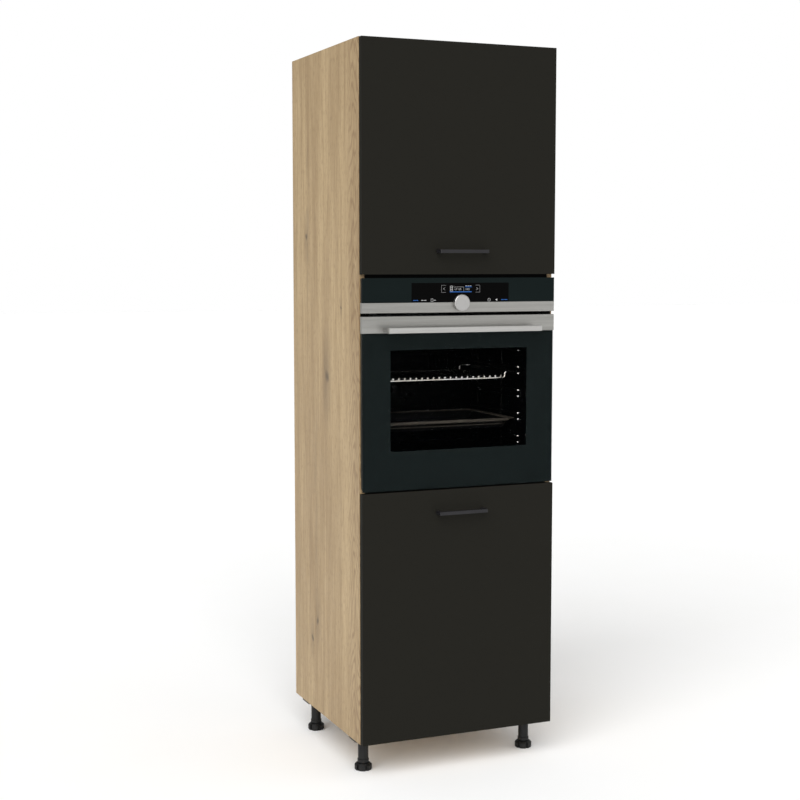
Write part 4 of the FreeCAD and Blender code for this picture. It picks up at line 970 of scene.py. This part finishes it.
def dress_oven():
    """Glass, trims, enamel, wires and sheets of the oven."""
    dress(tinted_glass("tinted_control_glass", "#111717", "#121919", 1.0, 0.06), "control_glass")
    dress(tinted_glass("tinted_door_glass", "#040505", "#060707", 0.05, 0.05), "oven_door_glass")
    dress(clear_glass(), "oven_inner_glass", "oven_lamp")
    dress(printed_black("display_cover", "#050505", "#070707", 0.25), "display_panel")
    dress(printed_black("fired_black_print", "#141a1a", "#161b1b", 0.5), "oven_glass_mask")
    dress(brushed_steel("brushed_stainless", "#abaaa6", "#979692", 0.34), "control_trim", "oven_door_trim")
    dress(brushed_steel("brushed_stainless_handle", "#c5c4c1", "#b8b7b4", 0.3), "oven_handle_bar")
    # The posts are the same stainless as the bar, drawn darker as painted shade on their end faces
    dress(brushed_steel("handle_posts_painted_shade", "#9c9b99", "#918f8d", 0.34), "oven_handle_posts")
    dress(turned_steel(), "control_knob")
    dress(speckled_enamel("oven_enamel", "#010102", "#060607", 0.3), "oven_muffle")
    dress(
        black_coat("black_coated_sheet", "#0c0c0c", "#080808", 0.4),
        "oven_door_stiles", "oven_door_rails", "oven_hinge_brackets",
    )
    dress(black_coat("matt_black_sheet", "#050505", "#040404", 0.6, 0.05), "oven_fixing_strips", "fan_cover")
    dress(galvanised_sheet(), "oven_casing")
    dress(silicone(), "oven_door_gasket")
    dress(chromed_wire(), "wire_rack")
    # The ladder wires are chromed like their bent front ends, but are drawn in dark grey as painted shade
    dress(plated_steel("ladder_wire_painted_shade", "#2f2e2c", "#242322", 0.3), "shelf_ladders")
    dress(tray_enamel(), "baking_tray")
    dress(plated_steel("oxidised_heater_tube", "#4a4743", "#35322f", 0.5), "grill_element")


def add_fittings():
    """Marks and fittings that are too small or thin for the solids."""
    head = bpy.data.materials["nickel_plated_steel"]
    # The screws' cross hollows get the near-black coat as painted shade
    recess_shade = bpy.data.materials["black_coated_sheet"]
    display_marks(
        lit_mark("lit_white", "#a2a2a2", 0.5),
        lit_mark("lit_grey", "#686868", 0.5),
        lit_mark("lit_blue", "#104f93", 0.7),
    )
    leg_screws(head, recess_shade)
    hinge_screws(head, recess_shade)
    handle_screws(head, recess_shade)
    front_buffers(bpy.data.materials["silicone_rubber"])
    case_louvres(bpy.data.materials["galvanised_sheet"])
    runner_bends(bpy.data.materials["chromed_wire"])
    tray_lip(bpy.data.materials["fired_tray_enamel"])


def soft_sun(name, toward, spread, strength):
    """Broad even light from the given direction, like a wall of diffusers."""
    data = bpy.data.lights.new(name, "SUN")
    data.angle = math.radians(spread)
    data.energy = strength
    light = bpy.data.objects.new(name, data)
    light.rotation_mode = "QUATERNION"
    light.rotation_quaternion = (-Vector(toward)).to_track_quat("-Z", "Y")
    bpy.context.scene.collection.objects.link(light)


def studio():
    """Pale paper floor, a white room that is brighter in front, and one broad soft light from the left."""
    mesh = bmesh.new()
    bmesh.ops.create_grid(mesh, x_segments=floor_parts, y_segments=floor_parts, size=floor_half_size)
    data = bpy.data.meshes.new("studio_floor")
    mesh.to_mesh(data)
    mesh.free()
    data.materials.append(studio_floor())
    floor = bpy.data.objects.new("studio_floor", data)
    bpy.context.scene.collection.objects.link(floor)
    world = bpy.data.worlds.new("white_room")
    world.use_nodes = True
    bpy.context.scene.world = world
    background = world.node_tree.nodes["Background"]
    background.inputs["Color"].default_value = srgb("#ffffff")
    # The backdrop is seen white, while the room itself lights and reflects more softly
    tree = world.node_tree
    seen = node(tree, "LightPath", out="Is Camera Ray")
    toward = node(tree, "TexCoord", out="Generated")
    depth = node(tree, "SeparateXYZ", {"Vector": toward}, "Y")
    room_span = {1: room_front_ends, 2: room_rear_starts, 3: room_front, 4: room_rear}
    room = node(tree, "MapRange", {0: depth, **room_span})
    strength = node(tree, "Mix", {0: seen, 2: room, 3: 1.0})
    tree.links.new(strength, background.inputs["Strength"])
    soft_sun("key_left", key_toward, key_spread, key_strength)


def camera():
    """Camera at the fitted place, turned by the fitted yaw and pitch."""
    data = bpy.data.cameras.new("picture_camera")
    data.sensor_width = sensor_mm
    data.lens = focal_pixels / picture_pixels * sensor_mm
    data.clip_end = view_reach
    made = bpy.data.objects.new("picture_camera", data)
    forward = Vector(
        (
            math.sin(camera_yaw) * math.cos(camera_pitch),
            math.cos(camera_yaw) * math.cos(camera_pitch),
            math.sin(camera_pitch),
        )
    )
    made.location = camera_place
    made.rotation_mode = "QUATERNION"
    made.rotation_quaternion = forward.to_track_quat("-Z", "Y")
    bpy.context.scene.collection.objects.link(made)
    bpy.context.scene.camera = made


dress_cabinet()
dress_oven()
add_fittings()
studio()
camera()
bpy.context.scene.view_settings.view_transform = "Standard"
